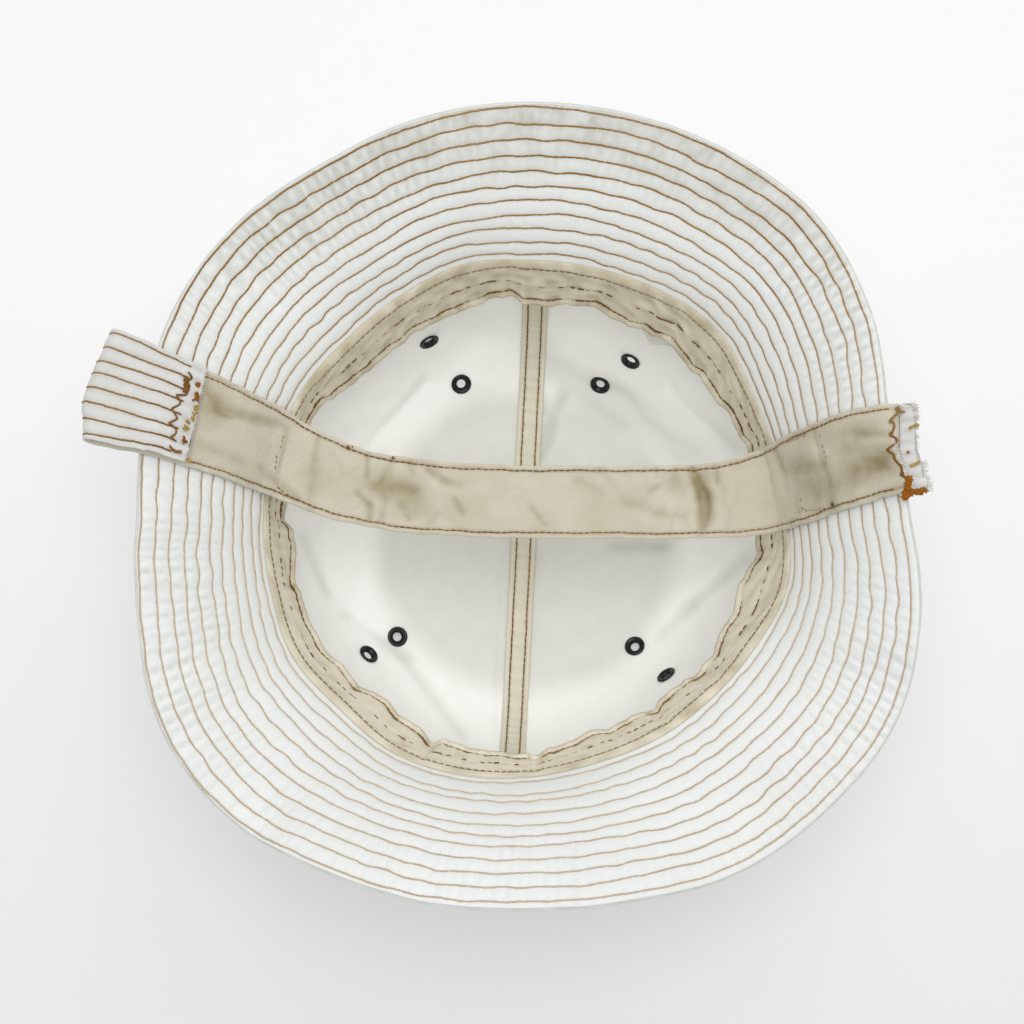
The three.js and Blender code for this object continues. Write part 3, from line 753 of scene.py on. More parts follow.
# The four neighbours of a quad, each with the two corners that it shares.
SHARED = [(0, -1, (0, 0), (1, 0)), (1, 0, (1, 0), (1, 1)), (0, 1, (1, 1), (0, 1)), (-1, 0, (0, 1), (0, 0))]
for t, j in zip(*np.nonzero(open_quads)):
    drop[face_rows - 2 - t, j] = drop[face_rows + t, j] = True
    for dt, dj, a, b in SHARED:
        if not open_quads[t + dt, (j + dj) % CROWN_COLUMNS]:
            a, b = (t + a[0], j + a[1]), (t + b[0], j + b[1])
            bridge.append([inside_at(*a), inside_at(*b), outside_at(*b), outside_at(*a)])
            rims |= {(a[0], a[1] % CROWN_COLUMNS), (b[0], b[1] % CROWN_COLUMNS)}
for face in (inner, outer):
    for t, j in rims:
        centre, axis = min(seats, key=lambda seat: np.linalg.norm(inner[t, j] - seat[0]))
        away = face[t, j] - centre
        high = away @ axis
        face[t, j] = centre + high * axis + unit(away - high * axis) * CLOTH_HOLE

crown_grid = np.vstack([inner[::-1], outer])
run = run_along(crown_grid[:, 0])
# Painted shade: the crown's flat is darker than its walls, and the valleys of its folds are darker too, both on
# the inner face and towards the crown's worn colour.
flat_shade_mask = 1 - smooth(np.hypot(inner[..., 0], inner[..., 1]), 52, 66)
fold_valley_shade = np.clip(-folds(inner[..., 0], inner[..., 1], crown_folds) / 2.2, 0, 1)
crown_painted_shade = np.zeros(crown_grid.shape[:2])
crown_painted_shade[:face_rows] = np.clip(0.66 * flat_shade_mask + 0.6 * fold_valley_shade, 0, 1)[::-1]
crown_uv = (np.radians(crown_turns) * CROWN_MEAN, run[:, None])
crown = build(
    "crown_cloth", crown_grid, crown_cloth, crown_uv,
    caps=True, wear_and_shade=crown_painted_shade, drop=drop, bridge=np.array(bridge),
)
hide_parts("crown_left", "crown_right")


def seam_line(offset, lift, inside, start, step=0.6):
    """Points along the crown's centre seam, moved sideways by an offset, and their way off the cloth.

    start is how far below the brim's seam the line starts and ends.
    """
    lean = math.degrees(SEAM_LEAN)
    top, low = (crown_at_depth(np.array([a - lean]), np.array([start]))[0][0] for a in (90.0, 270.0))
    v = np.linspace(top, -low, 900)
    x = SEAM_X + offset * math.cos(SEAM_LEAN) + v * math.sin(SEAM_LEAN)
    y = v * math.cos(SEAM_LEAN) - offset * math.sin(SEAM_LEAN)
    path = on_crown(x, y, lift, inside)
    ups = unit(on_crown(x, y, lift + 1.0, inside) - path)
    length = run_along(path)
    spots = np.linspace(0, length[-1], int(length[-1] / step))
    return resample(spots, length, path), unit(resample(spots, length, ups))


# A row of topstitching each side of the centre seam outside, and two round the crown's rim.
ring = np.linspace(0, 360, 1500)
outside = []
for offset in (-SEAM_ROW, SEAM_ROW):
    path, ups = seam_line(offset, -0.1, 0, 2.0)
    outside.append(stitch_run(path, -ups, *TOPSTITCH, 50))
for depth in (3.0, 7.5):
    r, z, nr, nz = crown_at_depth(ring, 0 * ring + depth)
    outside.append(stitch_run(polar(ring, r - 0.1 * nr, z), polar(ring, -nr, 0 * ring - nz), *TOPSTITCH, 60))
threads("crown_topstitch", outside, TOPSTITCH[1], row_thread)

# Brim
HALF = BRIM_CLOTH / 2


def turns(columns):
    """Azimuths all round, closer together where the brim puckers."""
    fine = np.linspace(0, 360, 7201)
    total = np.concatenate([[0], np.cumsum(1 + 0.9 * pucker_strength(fine[:-1]))])
    return np.interp(np.arange(columns) * total[-1] / columns, total, fine)


def brim_ply(name, side, columns, samples, hem):
    """One closed ply of the brim. side is 1 for the quilted face inside and -1 for the one outside."""
    azimuth = turns(columns)
    edge = BRIM_WIDTH + hem
    rows, relief_rows = [], []
    for s in np.linspace(0.4, edge - 0.35, samples):
        relief = brim_relief(azimuth, s + 0 * azimuth)
        fall = min(1.0, (edge - s) / 1.1) ** 0.5
        relief_rows.append(relief)
        rows.append(on_brim(azimuth, s, side * (HALF * (0.5 + 0.5 * fall) + relief * fall)))
    for s, share in ((edge, 0.62), (edge + 0.05, 0.4), (edge - 0.1, 0.16), (edge - 0.5, 0.05)):
        rows.append(on_brim(azimuth, s, side * HALF * share))
    for s in (BRIM_WIDTH * 0.66, BRIM_WIDTH * 0.33, 0.4):
        rows.append(on_brim(azimuth, s, side * 0.06))
    grid = np.stack(rows)
    # Painted shade: a little everywhere, more where the quilted relief sinks, along the rows and in the
    # puckers' valleys, and towards the edge on the brim's far side, at +Y.
    wear_and_shade = np.zeros(grid.shape[:2])
    outward = smooth(np.linspace(0, edge, samples), 24, 60)[:, None]
    far_side_shade = smooth(np.sin(np.radians(azimuth)), 0.2, 1) * outward
    wear_and_shade[:samples] = np.clip(0.12 - 0.9 * np.stack(relief_rows) + 0.8 * far_side_shade, 0, 0.9)
    # Painted shade on the outer ply's edge.
    if side < 0:
        wear_and_shade[samples - 5:samples + 4] += 0.6
    along = run_along(grid[:, 0])
    uv = (np.radians(azimuth) * BRIM_MEAN, along[:, None])
    return build(name, grid, brim_cloth, uv, wrap=True, wear_and_shade=wear_and_shade)


brim_top = brim_ply("brim_inner_ply", 1, 1120, 72, 0.0)
brim_under = brim_ply("brim_outer_ply", -1, 680, 42, 0.5)
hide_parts("brim")
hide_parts("brim")


def brim_rows(side, count, seed):
    """The rows of stitching on one face of the brim. The last one outside runs close to the seam."""
    runs = []
    for k in range(count):
        azimuth = np.linspace(0, 360, 2400)
        s = row_at(azimuth, k) if k < ROW_COUNT else 1.4 + 0.15 * waves(azimuth, 77, 4, 20)
        lift = side * (HALF - 0.16)
        here, there = on_brim(azimuth, s, lift), on_brim(azimuth, s, lift + side)
        runs.append(stitch_run(here, unit(there - here), *BRIM_STITCH, seed + k, 1.08, sink=0.0))
    return runs


threads("brim_rows_inside", brim_rows(1, ROW_COUNT, 300), BRIM_STITCH[1], row_thread)
threads("brim_rows_outside", brim_rows(-1, ROW_COUNT + 1, 400), 0.33, row_thread)

# Sweatband
# How the row of stitching near the band's free edge waves: direction seen from above, and distance in pixels.
BAND_WAVES = [
    (3, 232), (8, 229), (14, 234), (19, 236), (22, 231), (27, 234), (32, 228), (40, 230), (43, 227),
    (48, 230), (52, 233), (56, 227), (59, 230), (63, 223), (68, 226), (73, 229), (77, 224), (80, 226),
    (84, 221), (88, 220), (91, 222), (94, 230), (100, 230), (105, 227), (110, 224), (120, 225), (126, 222),
    (132, 224), (136, 223), (144, 229), (148, 236), (152, 245), (158, 246), (172, 245), (180, 248),
    (182, 239), (187, 240), (192, 243), (195, 246), (198, 243), (203, 246), (212, 246), (216, 242),
    (224, 242), (228, 236), (232, 234), (236, 238), (240, 240), (244, 241), (247, 248), (249, 240),
    (258, 240), (265, 238), (270, 239), (272, 243), (275, 234), (280, 231), (284, 228), (287, 225),
    (291, 229), (298, 226), (304, 233), (307, 227), (314, 228), (317, 234), (325, 233), (329, 228),
    (337, 231), (341, 228), (344, 227), (348, 231), (352, 237), (357, 232),
]
BAND_THICK, ROW_DEPTH, BAND_COLUMNS = 0.9, 32.5, 780
# share of the band's width at which its middle and root rows run
NEEDLE_ROW, ROOT_ROW = 0.56, 0.11
band_turns = np.arange(BAND_COLUMNS) * 360 / BAND_COLUMNS
NEAR = CROWN_CLOTH + GAP  # over the crown's outer face, where what lies on its inner face starts


def wall_point(azimuth, depth, lift):
    r, z, nr, nz = crown_at_depth(azimuth, np.maximum(depth, 1.0))
    return polar(azimuth, r + nr * lift, z + nz * lift)


def too_wide(points):
    """Whether points of the band show further out than its row of stitching does in the photo."""
    direction, distance = seen_from_middle(points)
    row = np.interp(direction, *zip(*BAND_WAVES), period=360) + 0.7 * waves(band_turns, 20, 20, 70)
    return distance > row


# The band covers the seam tape's ends at azimuths 87 and 267 and the label at 57, so it stands off there.
covers = sum(plateau(band_turns, centre, half) for centre, half in ((87, 6), (267, 6), (57, 8)))
least = NEAR + 0.25 + 1.1 * np.clip(covers, 0, 1)
row_seen_wide = lambda depth, lift: too_wide(wall_point(band_turns, depth, lift + BAND_THICK))
row_lift = bisect(lambda lift: row_seen_wide(ROW_DEPTH, lift), 0.0, 7.0)
row_depth = bisect(lambda rise: ~row_seen_wide(ROW_DEPTH - rise, least), 0.0, 11.0)
row_depth = ROW_DEPTH - np.where(row_lift < least, row_depth, 0)
row_lift = np.maximum(row_lift, least)


def band_point(share, lift):
    """On the band at a share of its width: 0 at the lip and 1 at the stitching near its free edge."""
    share = share + 0 * band_turns
    depth = -BAND_LIP + share * (row_depth + BAND_LIP)
    off = NEAR + (least - NEAR) * smooth(depth, 3, 20) + (row_lift - least) * smooth(share, 0.35, 1.0)
    off = off + np.maximum(share - 1, 0) * 24 + lift
    wall = wall_point(band_turns, depth, off)
    r, z, nr, nz = brim_section(band_turns, np.maximum(-depth, -GAP))
    up = HALF + GAP + lift + brim_sway(band_turns, np.maximum(-depth, 0))
    lip = polar(band_turns, r + nr * up, z + nz * up)
    blend = smooth(depth, -0.3, 1.4)[:, None]
    return wall * blend + lip * (1 - blend)


FREE = 1.075
shares = np.concatenate([np.linspace(0, 0.2, 8), np.linspace(0.2, 1, 27)[1:], [1.025, 1.05, FREE]])
dimples = 0.5 * (1 + waves(band_turns, 15, 60, 150, 9)) * 0.25
round_x, round_y = BAND_MEAN * np.cos(np.radians(band_turns)), BAND_MEAN * np.sin(np.radians(band_turns))
rows, band_shade_and_marks = [], []
for share in shares:
    roll = 0.3 * hump(share - FREE, 0.02) + 0.15 * hump(share, 0.03)
    quilt = 0.3 * hump(share - NEEDLE_ROW, 0.03) + 0.22 * hump(share - 1.0, 0.02)
    quilt += 0.2 * hump(share - ROOT_ROW, 0.025)
    ripple = dimples * smooth(share, 0.2, 0.5) + 0.3 * noise2(round_x, round_y + share * 36, 19, 6)
    rows.append(band_point(share, BAND_THICK - roll - quilt + ripple * 0.8 * smooth(share, 0.1, 0.3)))
    # Darker near the lip, and painted shade: darker on the band's far side at +Y, along its rows and in its
    # dimples; darker too beside its edge row and past it.
    darker_near_lip_and_far_side = 0.2 + 0.3 * (1 - smooth(share, 0.0, 0.14)) + 0.14 * np.sin(np.radians(band_turns))
    beside = 0.25 * hump(share - 0.98, 0.03) + 0.2 * smooth(share, 1.0, 1.05)
    band_shade_and_marks.append(darker_near_lip_and_far_side + 0.5 * quilt + beside - 0.6 * ripple)
back = [0, 0.06, 0.15, 0.3, 0.5, 0.7, 0.85, 0.95, 1.0, 1.04, FREE][::-1]
rows += [band_point(share, 0.02) for share in back]
band_grid = np.stack(rows)
wear_and_shade = np.zeros(band_grid.shape[:2])
wear_and_shade[: len(shares)] = np.clip(np.stack(band_shade_and_marks), 0, 0.6)
across_band = np.concatenate([shares, 2 * FREE - np.array(back)])[:, None] * 36
band_uv = (np.radians(band_turns) * BAND_MEAN, across_band)
band = build("sweatband_twill", band_grid, band_cloth, band_uv, wrap=True, wear_and_shade=wear_and_shade)
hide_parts("sweatband")


def band_row(share, pitch, radius, seed, fill, jitter=0.05, skip=0.0):
    """A closed row of stitches at a share of the band's width, or at one for each column."""
    here, there = band_point(share, BAND_THICK - 0.1), band_point(share, BAND_THICK + 0.9)
    path, ups = (np.vstack([values, values[:1]]) for values in (here, there - here))
    return stitch_run(path, unit(ups), pitch, radius, seed, fill, jitter, skip)


threads("band_edge_row", [band_row(1.0, *BAND_STITCH, 70, 0.96)], BAND_STITCH[1], band_thread)
wander = 0.015 * waves(band_turns, 17, 4, 12)
needle = [
    band_row(NEEDLE_ROW + wander, 5.2, 0.34, 71, 0.34, 0.3, 0.3),
    band_row(NEEDLE_ROW + 0.005 + wander, 3.0, 0.2, 73, 0.7, 0.1, 0.6),
]
threads("band_needle_row", needle, 0.28, band_thread)
root = [band_row(ROOT_ROW + 0.004 * waves(band_turns, 18, 4, 12), *ROOT_STITCH, 72, 0.8)]
threads("band_root_row", root, ROOT_STITCH[1], plain_thread)

# Seam tape
TAPE_HALF, TAPE_THICK, TAPE_ROW, TAPE_START = 5.0, 0.9, 2.7, BAND_WIDTH * 0.66 + 2
tape_offsets = np.linspace(-TAPE_HALF, TAPE_HALF, 25)
lines = [seam_line(offset, NEAR, 1, TAPE_START, 0.5) for offset in tape_offsets]
count = min(len(path) for path, _ in lines)
lines = [[resample(np.linspace(0, 1, count), np.linspace(0, 1, len(q)), q) for q in line] for line in lines]
spots = np.arange(count)
ripple = 0.13 * np.sin(spots * 0.62 + 1.5 * np.sin(spots * 0.09))
tape_rows, tape_painted_shade = [], []
for offset, (here, up) in zip(tape_offsets, lines):
    off = abs(offset)
    stitched = hump(off - TAPE_ROW, 0.6)
    height = TAPE_THICK + 0.16 - 0.36 * stitched - 0.4 * smooth(off, 4.5, 5.0)
    height = height + ripple * (1 - stitched) * (1 if off < 3 else 0.5)
    tape_rows.append(here + unit(up) * height[:, None])
    # Painted shade along the tape's rows, in its ripples' hollows and at its folded edges.
    tape_painted_shade.append(np.clip(0.35 * stitched - 0.8 * ripple * (off < 3) + 0.25 * smooth(off, 4.2, 5.0), 0, 1))
tape_rows += [here + unit(up) * 0.02 for here, up in lines[::-1]]
tape_grid = np.stack(tape_rows, 1)
wear_and_shade = np.stack(tape_painted_shade + [0 * spots] * len(lines), 1)
tape_uv = (np.arange(tape_grid.shape[1]) * 0.42, spots[:, None] * 0.5)
tape = build("seam_tape_twill", tape_grid, tape_cloth, tape_uv, caps=True, wear_and_shade=wear_and_shade)
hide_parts("seam_tape")
runs = []
for offset in (-TAPE_ROW, TAPE_ROW):
    path, ups = seam_line(offset, NEAR + TAPE_THICK - 0.12, 1, TAPE_START + 1)
    runs.append(stitch_run(path, ups, *TAPE_STITCH, 80, 0.95))
threads("seam_tape_rows", runs, TAPE_STITCH[1], band_thread)

# Care label, left bare
LABEL_AZIMUTH, LABEL_DEPTH, LABEL_SIDE = 57.0, 36.0, 13.0
steps = np.linspace(-0.5, 0.5, 25) * LABEL_SIDE / math.sqrt(2)
a, b = np.meshgrid(steps, steps, indexing="ij")
label_azimuth = LABEL_AZIMUTH + np.degrees((a - b) / around(np.array([LABEL_AZIMUTH]), WALL)[0])
label_depth = LABEL_DEPTH - a - b
faces = []
for lift in (0.55, 0.1):
    up = NEAR + lift + 1.6 * smooth(label_depth, 37, 46)
    faces.append(wall_point(label_azimuth, label_depth, up))
label_grid = np.concatenate([faces[0], faces[1][:, ::-1]], 1)
label_uv = (np.arange(label_grid.shape[1]) * 0.5, np.arange(label_grid.shape[0])[:, None] * 0.5)
label = build("care_label_tape", label_grid, label_cloth, label_uv, caps=True)
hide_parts("care_label")

# Strap
# x and y of the strap's middle in plan, and its width
STRAP = [
    (-146.5, 40.2, 39), (-132, 36, 36.5), (-118, 32, 34.5), (-105, 28, 33), (-93, 24, 31), (-80, 18.5, 28.5),
    (-65, 13, 27.5), (-46, 9.5, 27), (-23, 7.8, 26.6), (2, 7, 26.4), (27, 6.8, 26.4), (52, 6.6, 26.6),
    (72, 7.4, 27.6), (85, 9.6, 30), (97, 12.8, 32), (109, 16, 32), (119, 18, 31.3), (127, 18.8, 30.5),
]
STRAP_SAG, STRAP_RISE, STRAP_CLOTH, STRAP_GAP = 6.0, 10.0, 1.0, 0.35
FOLD_OPEN, FLAP, STEP = 3.0, 36.0, 0.9
STACK = 2 * STRAP_CLOTH + STRAP_GAP  # both plies and what lies between them


def strap_support(x, y):
    """How high the strap's white side lies where it rests on the brim or the band's lip."""
    azimuth, radius = np.degrees(np.arctan2(y, x)), np.hypot(x, y)

    def raised(s):
        lift = HALF + 2 * GAP + (1 - smooth(s, BAND_LIP, BAND_LIP + 8)) * (1 + GAP)
        r, z, nr, nz = brim_section(azimuth, s)
        up = lift + np.maximum(brim_sway(azimuth, s), 0)
        return r + nr * up, z + nz * up

    root, edge, near = raised(0 * x), raised(0 * x + BRIM_WIDTH), raised(0 * x + 1.0)
    s = bisect(lambda s: raised(s)[0] < radius, 0 * x, 0 * x + BRIM_WIDTH)
    slope = (near[1] - root[1]) / (near[0] - root[0])
    height = np.where(radius < root[0], root[1] - (root[0] - radius) * slope, raised(s)[1])
    return np.where(radius > edge[0], edge[1] + 0.15 * (radius - edge[0]), height)


def strap_height(x, y):
    """The higher of the strap's free span and of what it rests on, rounded where they meet."""
    span = CROWN_DEPTH - STRAP_SAG + STRAP_RISE * (x / 88) ** 2
    rest = strap_support(x, y)
    return (span + rest) / 2 + np.sqrt(((span - rest) / 2) ** 2 + 4.0)


def strap_column(column, place):
    """A column of the strap's table, run on straight past its last row."""
    values = np.array([row[column] for row in STRAP], float)
    last = len(values) - 1
    i = np.clip(np.floor(place).astype(int), 0, last - 1)
    pick = lambda k: values[np.clip(i + k, 0, last)]
    inside = through(pick(-1), pick(0), pick(1), pick(2), np.minimum(place - i, 1))
    return inside + np.maximum(place - last, 0) * (values[-1] - values[-2]) * (column < 2)


# Even steps along the strap, some past its end for the torn margin.
place = np.linspace(0, len(STRAP) + 0.3, 4000)
middle = np.stack([strap_column(0, place), strap_column(1, place)], -1)
middle_z = strap_height(middle[:, 0], middle[:, 1])
run = run_along(np.column_stack([middle, middle_z]))
run_end = np.interp(len(STRAP) - 1.0, place, run)
run_at = np.arange(0, run_end + 10, STEP)
place = np.interp(run_at, run, place)
ahead, behind = np.minimum(place + 0.2, len(STRAP) - 1), np.clip(place - 0.2, 0, len(STRAP) - 1.4)
way = unit(np.stack([strap_column(q, ahead) - strap_column(q, behind) for q in (0, 1)], -1))
COLUMNS = 45
MIDDLE = COLUMNS // 2
ACROSS = np.sin(np.linspace(-0.5, 0.5, COLUMNS) * math.pi)  # closer together towards both edges
run_half = strap_column(2, place) / 2
edge_wave = 0.35 * np.sin(run_at * 0.21) + 0.2 * np.sin(run_at * 0.67 + 1)
side = (run_half + edge_wave * 0.5)[:, None] * ACROSS
# The fold at the left end isn't square: its lower corner is drawn in.
fold_in = 3.9 * smooth(-ACROSS, 0.2, 1.0) + 0.9 * smooth(ACROSS, -0.2, 1.0)
end_in = 4.2 * smooth(ACROSS, -0.9, 1.0)
slide = fold_in * (1 - smooth(run_at, 0, 30))[:, None]
centre = np.stack([strap_column(0, place), strap_column(1, place)], -1)
grid_x = centre[:, :1] - way[:, 1:] * side + way[:, :1] * slide
grid_y = centre[:, 1:] + way[:, :1] * side + way[:, 1:] * slide
base = np.stack([grid_x, grid_y, strap_height(grid_x, grid_y)], -1)
base_normals = unit(np.cross(np.gradient(base, axis=0), np.gradient(base, axis=1)))

# The flap is the same cloth folded back over its left end, with its white side up.
flap_rows = int(FLAP / STEP)
flap_share = np.linspace(1, 0, flap_rows)[:, None]
flap_row = flap_share * (flap_rows - 1) - (end_in * flap_share) / STEP
low_row = np.clip(np.floor(flap_row).astype(int), 0, None)
part = (flap_row - low_row)[..., None]
pick = np.arange(COLUMNS)[None, :]
flap_base = base[low_row, pick] * (1 - part) + base[low_row + 1, pick] * part
flap_normals = base_normals[low_row, pick]
opening = FOLD_OPEN + (2 * GAP - FOLD_OPEN) * flap_share**0.8
bulge = 0.5 * np.sin(flap_share * 3.1) * (1 - ACROSS**2)
flap_points = flap_base + flap_normals * (2 * STACK + opening + bulge)[..., None]
fold_radius = STACK + FOLD_OPEN / 2
outward = unit(base[0] - base[2])
fold_points, fold_normals = [], []
for turn in np.linspace(0, math.pi, 17)[1:-1]:
    n = -base_normals[0] * math.cos(turn) - outward * math.sin(turn)
    fold_points.append(base[0] + base_normals[0] * fold_radius - n * fold_radius)
    fold_normals.append(n)
sheet_p = np.vstack([flap_points, fold_points, base])
sheet_n = np.vstack([-flap_normals, fold_normals, base_normals])
run_row = len(sheet_p) - len(base)
along = run_along(sheet_p[:, MIDDLE])
end_along = np.interp(run_end, run_at, along[run_row:])
length_u, width_v = along[:, None] + 0 * ACROSS, 16 * ACROSS + 0 * along[:, None]
half = np.concatenate([run_half[:flap_rows][::-1], np.full(len(fold_points), run_half[0]), run_half])
sideways = half[:, None] * ACROSS
from_edge = half[:, None] * (1 - np.abs(ACROSS))
on_run = (np.arange(len(sheet_p)) >= run_row)[:, None]

# Creases in the strap where the photo shows them: pixels from and to, height and half width in mm.
STRAP_FOLDS = [
    ((317, 440), (314, 458), -0.8, 1.0), ((314, 465), (309, 511), -0.8, 1.5),
    ((367, 455), (367, 476), -1.0, 0.9), ((357, 493), (369, 505), -1.0, 1.0),
    ((369, 505), (369, 518), -1.0, 1.0), ((392, 460), (382, 479), -0.9, 1.3),
    ((374, 486), (415, 489), -0.8, 1.8), ((410, 463), (413, 475), -0.6, 1.4),
    ((427, 470), (444, 481), -0.9, 1.2), ((444, 481), (458, 485), -0.6, 1.2),
    ((455, 500), (462, 512), -0.8, 1.0), ((436, 516), (428, 524), -0.6, 1.0),
    ((385, 500), (380, 518), -0.6, 1.1), ((399, 503), (408, 518), -0.7, 1.0),
    ((391, 500), (398, 512), 0.6, 1.1), ((525, 487), (527, 505), 0.5, 1.2),
    ((527, 504), (545, 524), -0.7, 0.9), ((523, 508), (538, 524), 0.5, 1.1),
    ((581, 482), (601, 493), -0.5, 1.8), ((600, 470), (612, 482), -0.4, 1.4),
    ((629, 502), (660, 512), -0.6, 1.8), ((694, 472), (704, 495), -1.7, 1.7),
    ((704, 495), (706, 509), -1.8, 1.9), ((706, 509), (703, 531), -1.3, 1.7),
    ((716, 467), (718, 481), -1.1, 1.0), ((657, 468), (658, 475), -0.5, 0.8),
    ((676, 468), (677, 476), -0.6, 0.8), ((650, 492), (658, 487), -0.6, 0.9),
    ((658, 513), (682, 516), -0.5, 1.2), ((723, 467), (734, 515), 0.6, 1.1),
    ((734, 515), (730, 531), 0.6, 1.1), ((742, 478), (744, 523), 0.4, 1.2),
    ((779, 450), (786, 468), -0.8, 1.0), ((860, 434), (889, 434), -0.7, 1.5),
    ((858, 442), (884, 444), 0.7, 2.0), ((858, 471), (878, 463), -0.8, 2.2),
    ((876, 463), (892, 470), -0.7, 2.0), ((842, 452), (868, 448), -0.5, 1.6),
    ((215, 410), (276, 424), -1.1, 2.0), ((206, 392), (222, 412), -0.9, 1.6),
    ((226, 428), (262, 452), 0.8, 3.2), ((257, 468), (294, 497), -0.9, 1.5),
    ((284, 430), (276, 470), -0.6, 1.0), ((819, 432), (828, 464), -0.5, 0.8),
    ((828, 464), (834, 482), -0.5, 0.8), ((786, 443), (806, 435), -0.4, 0.8),
    ((801, 496), (803, 511), -0.4, 0.8), ((804, 511), (827, 508), -0.4, 0.8),
    ((796, 470), (812, 466), -0.5, 1.8), ((800, 452), (818, 450), 0.4, 2.0),
    ((838, 484), (880, 478), -0.4, 2.0), ((200, 446), (236, 460), -0.5, 2.0),
    ((240, 390), (290, 402), 0.5, 2.4),
]


def strap_height_near(x, y):
    return float(strap_height(np.array(x), np.array(y))) + STACK


def strap_spot(column, row):
    """The place on the strap's upper face under one of the photo's pixels."""
    z = 120.0
    for _ in range(14):
        x, y = seen_at(column, row, z)
        z = 0.5 * (z + strap_height_near(x, y))
    return float(x), float(y), z


TAN, OLIVE, BROWN, DULL = rgb(160, 146, 108), rgb(136, 131, 98), rgb(128, 108, 50), rgb(138, 122, 78)
# Stains on the strap: pixel in the photo, full and outer radius in mm, colour and strength.
STAINS = [
    (415, 500, 2, 9, DULL, 0.5), (382, 484, 2, 8, TAN, 0.5), (398, 490, 2, 8, TAN, 0.6),
    (316, 476, 2, 8, TAN, 0.4), (674, 484, 1, 6, TAN, 0.5), (701, 480, 1.5, 5, BROWN, 0.55),
    (705, 498, 1.5, 5, BROWN, 0.65), (705, 515, 1.5, 5, BROWN, 0.5), (806, 470, 2, 10, OLIVE, 0.5),
    (824, 484, 2, 9, OLIVE, 0.5), (856, 464, 2, 9, DULL, 0.5), (880, 460, 2, 8, DULL, 0.45),
    (862, 437, 2, 9, OLIVE, 0.45), (206, 400, 2, 12, TAN, 0.4), (220, 408, 2, 8, TAN, 0.3),
    (834, 504.5, 0.9, 1.5, rgb(10, 9, 8), 1.6), (834, 504.5, 1.2, 3.6, rgb(110, 98, 70), 0.5),
]
lining_cloth = cloth(
    "strap_twill", rgb(227, 222, 206), rgb(207, 200, 178), DIRT_AND_SHADE, 26.0, 0.75,
    period=0.8, rib=0.7, rib_tone=0.14,
    stains=[(strap_spot(column, row), *rest) for column, row, *rest in STAINS],
)
strap_folds = placed(STRAP_FOLDS, strap_height_near)
plan_x, plan_y = sheet_p[..., 0], sheet_p[..., 1]
creased = folds(plan_x, plan_y, strap_folds)
crumple = 1 - np.abs(noise2(plan_x, plan_y, 61, 6.5)) * 1.6
zone = 0.35 + 0.65 * hump(plan_x + 48, 26) + 0.5 * hump(plan_x - 52, 24)
wrinkle = creased + zone * (0.24 * crumple + 0.2 * noise2(plan_x, plan_y, 62, 11))
still = smooth(along, along[run_row] + 2, along[run_row] + 14)[:, None]
still = still * (0.35 + 0.65 * smooth(from_edge, 0.5, 4))
on_flap = 0.3 * noise2(plan_x, plan_y, 63, 11) + 0.12 * noise2(plan_x, plan_y, 64, 4)
wrinkle = np.where(on_run, wrinkle * still, on_flap)

EDGE_ROW = 1.9  # the outer rows of stitching run this far inside the strap's edges
beside_row = hump(from_edge - EDGE_ROW, 0.6)
selvage = 0.12 * noise2(length_u, width_v, 65, 2.2)
lining_relief = 0.1 * (1 - smooth(from_edge, 0.2, 2.6)) - 0.38 * beside_row
lining_relief = lining_relief - 0.5 * (1 - smooth(from_edge, 0.0, 0.6))
lining_relief = lining_relief + selvage * (1 - smooth(from_edge, 1, 2))
# Painted shade in the creases and beside the rows; a little lighter at the very edge, and darker along the
# crumples' sharp ridges and in patches towards the right end.
lining_shade_and_marks = 0.16 + 0.5 * np.clip(-creased, 0, 1.2) + 0.45 * beside_row
lining_shade_and_marks = lining_shade_and_marks - 0.12 * (1 - smooth(from_edge, 0.4, 1.2))
lining_shade_and_marks = lining_shade_and_marks + 0.22 * zone * np.clip(crumple - 0.3, 0, 1)
lining_shade_and_marks = lining_shade_and_marks + 0.25 * smooth(plan_x, 60, 120) * np.abs(noise2(plan_x, plan_y, 66, 16))
STRAP_ROWS = np.linspace(-1, 1, 8)
rows_at = np.stack([(half - EDGE_ROW)[:, None] * q + 0 * sideways for q in STRAP_ROWS])
from_row = np.clip(np.min(np.abs(rows_at - sideways), axis=0) / 2.3, 0, 1)
puckered = 0.1 * np.sin(length_u * 1.5 + 2 * np.sin(length_u * 0.2) + width_v)
face_relief = 0.5 * np.sqrt(1 - (1 - from_row) ** 2) - 0.36 + puckered * from_row
face_relief = face_relief - 0.4 * (1 - smooth(from_edge, 0.0, 0.6))
# Painted shade along the rows, where the cloth is drawn in.
face_row_shade = 0.1 + 0.5 * (1 - from_row) ** 2

# How far the white ply's torn margin and the lining's end reach past the strap's end, across the strap.
TORN = [
    (-1, 7.0), (-0.94, 7.8), (-0.8, 7.0), (-0.6, 6.2), (-0.4, 6.0), (-0.33, 3.6), (-0.1, 3.5), (0.2, 3.9),
    (0.5, 4.3), (0.78, 5.2), (0.9, 5.0), (1, 2.6),
]
LINING_END = [
    (-1, 1.6), (-0.8, 1.4), (-0.6, 0.4), (-0.45, -0.2), (-0.3, -1.4), (0, -2.6), (0.6, -2.5), (0.85, 0.0),
    (1, 0.8),
]


def at_row(grid, row):
    """Values of a grid between its rows, with a row number for every point of the result."""
    i = np.clip(np.floor(row).astype(int), 0, len(grid) - 2)
    part = row - i
    columns = np.arange(grid.shape[1])[None, :] + 0 * i
    part = part[..., None] if grid.ndim == 3 else part
    return grid[i, columns] * (1 - part) + grid[i + 1, columns] * part


end_row = np.interp(end_along, along, np.arange(len(along)))
kept_rows = int(end_row) + 1


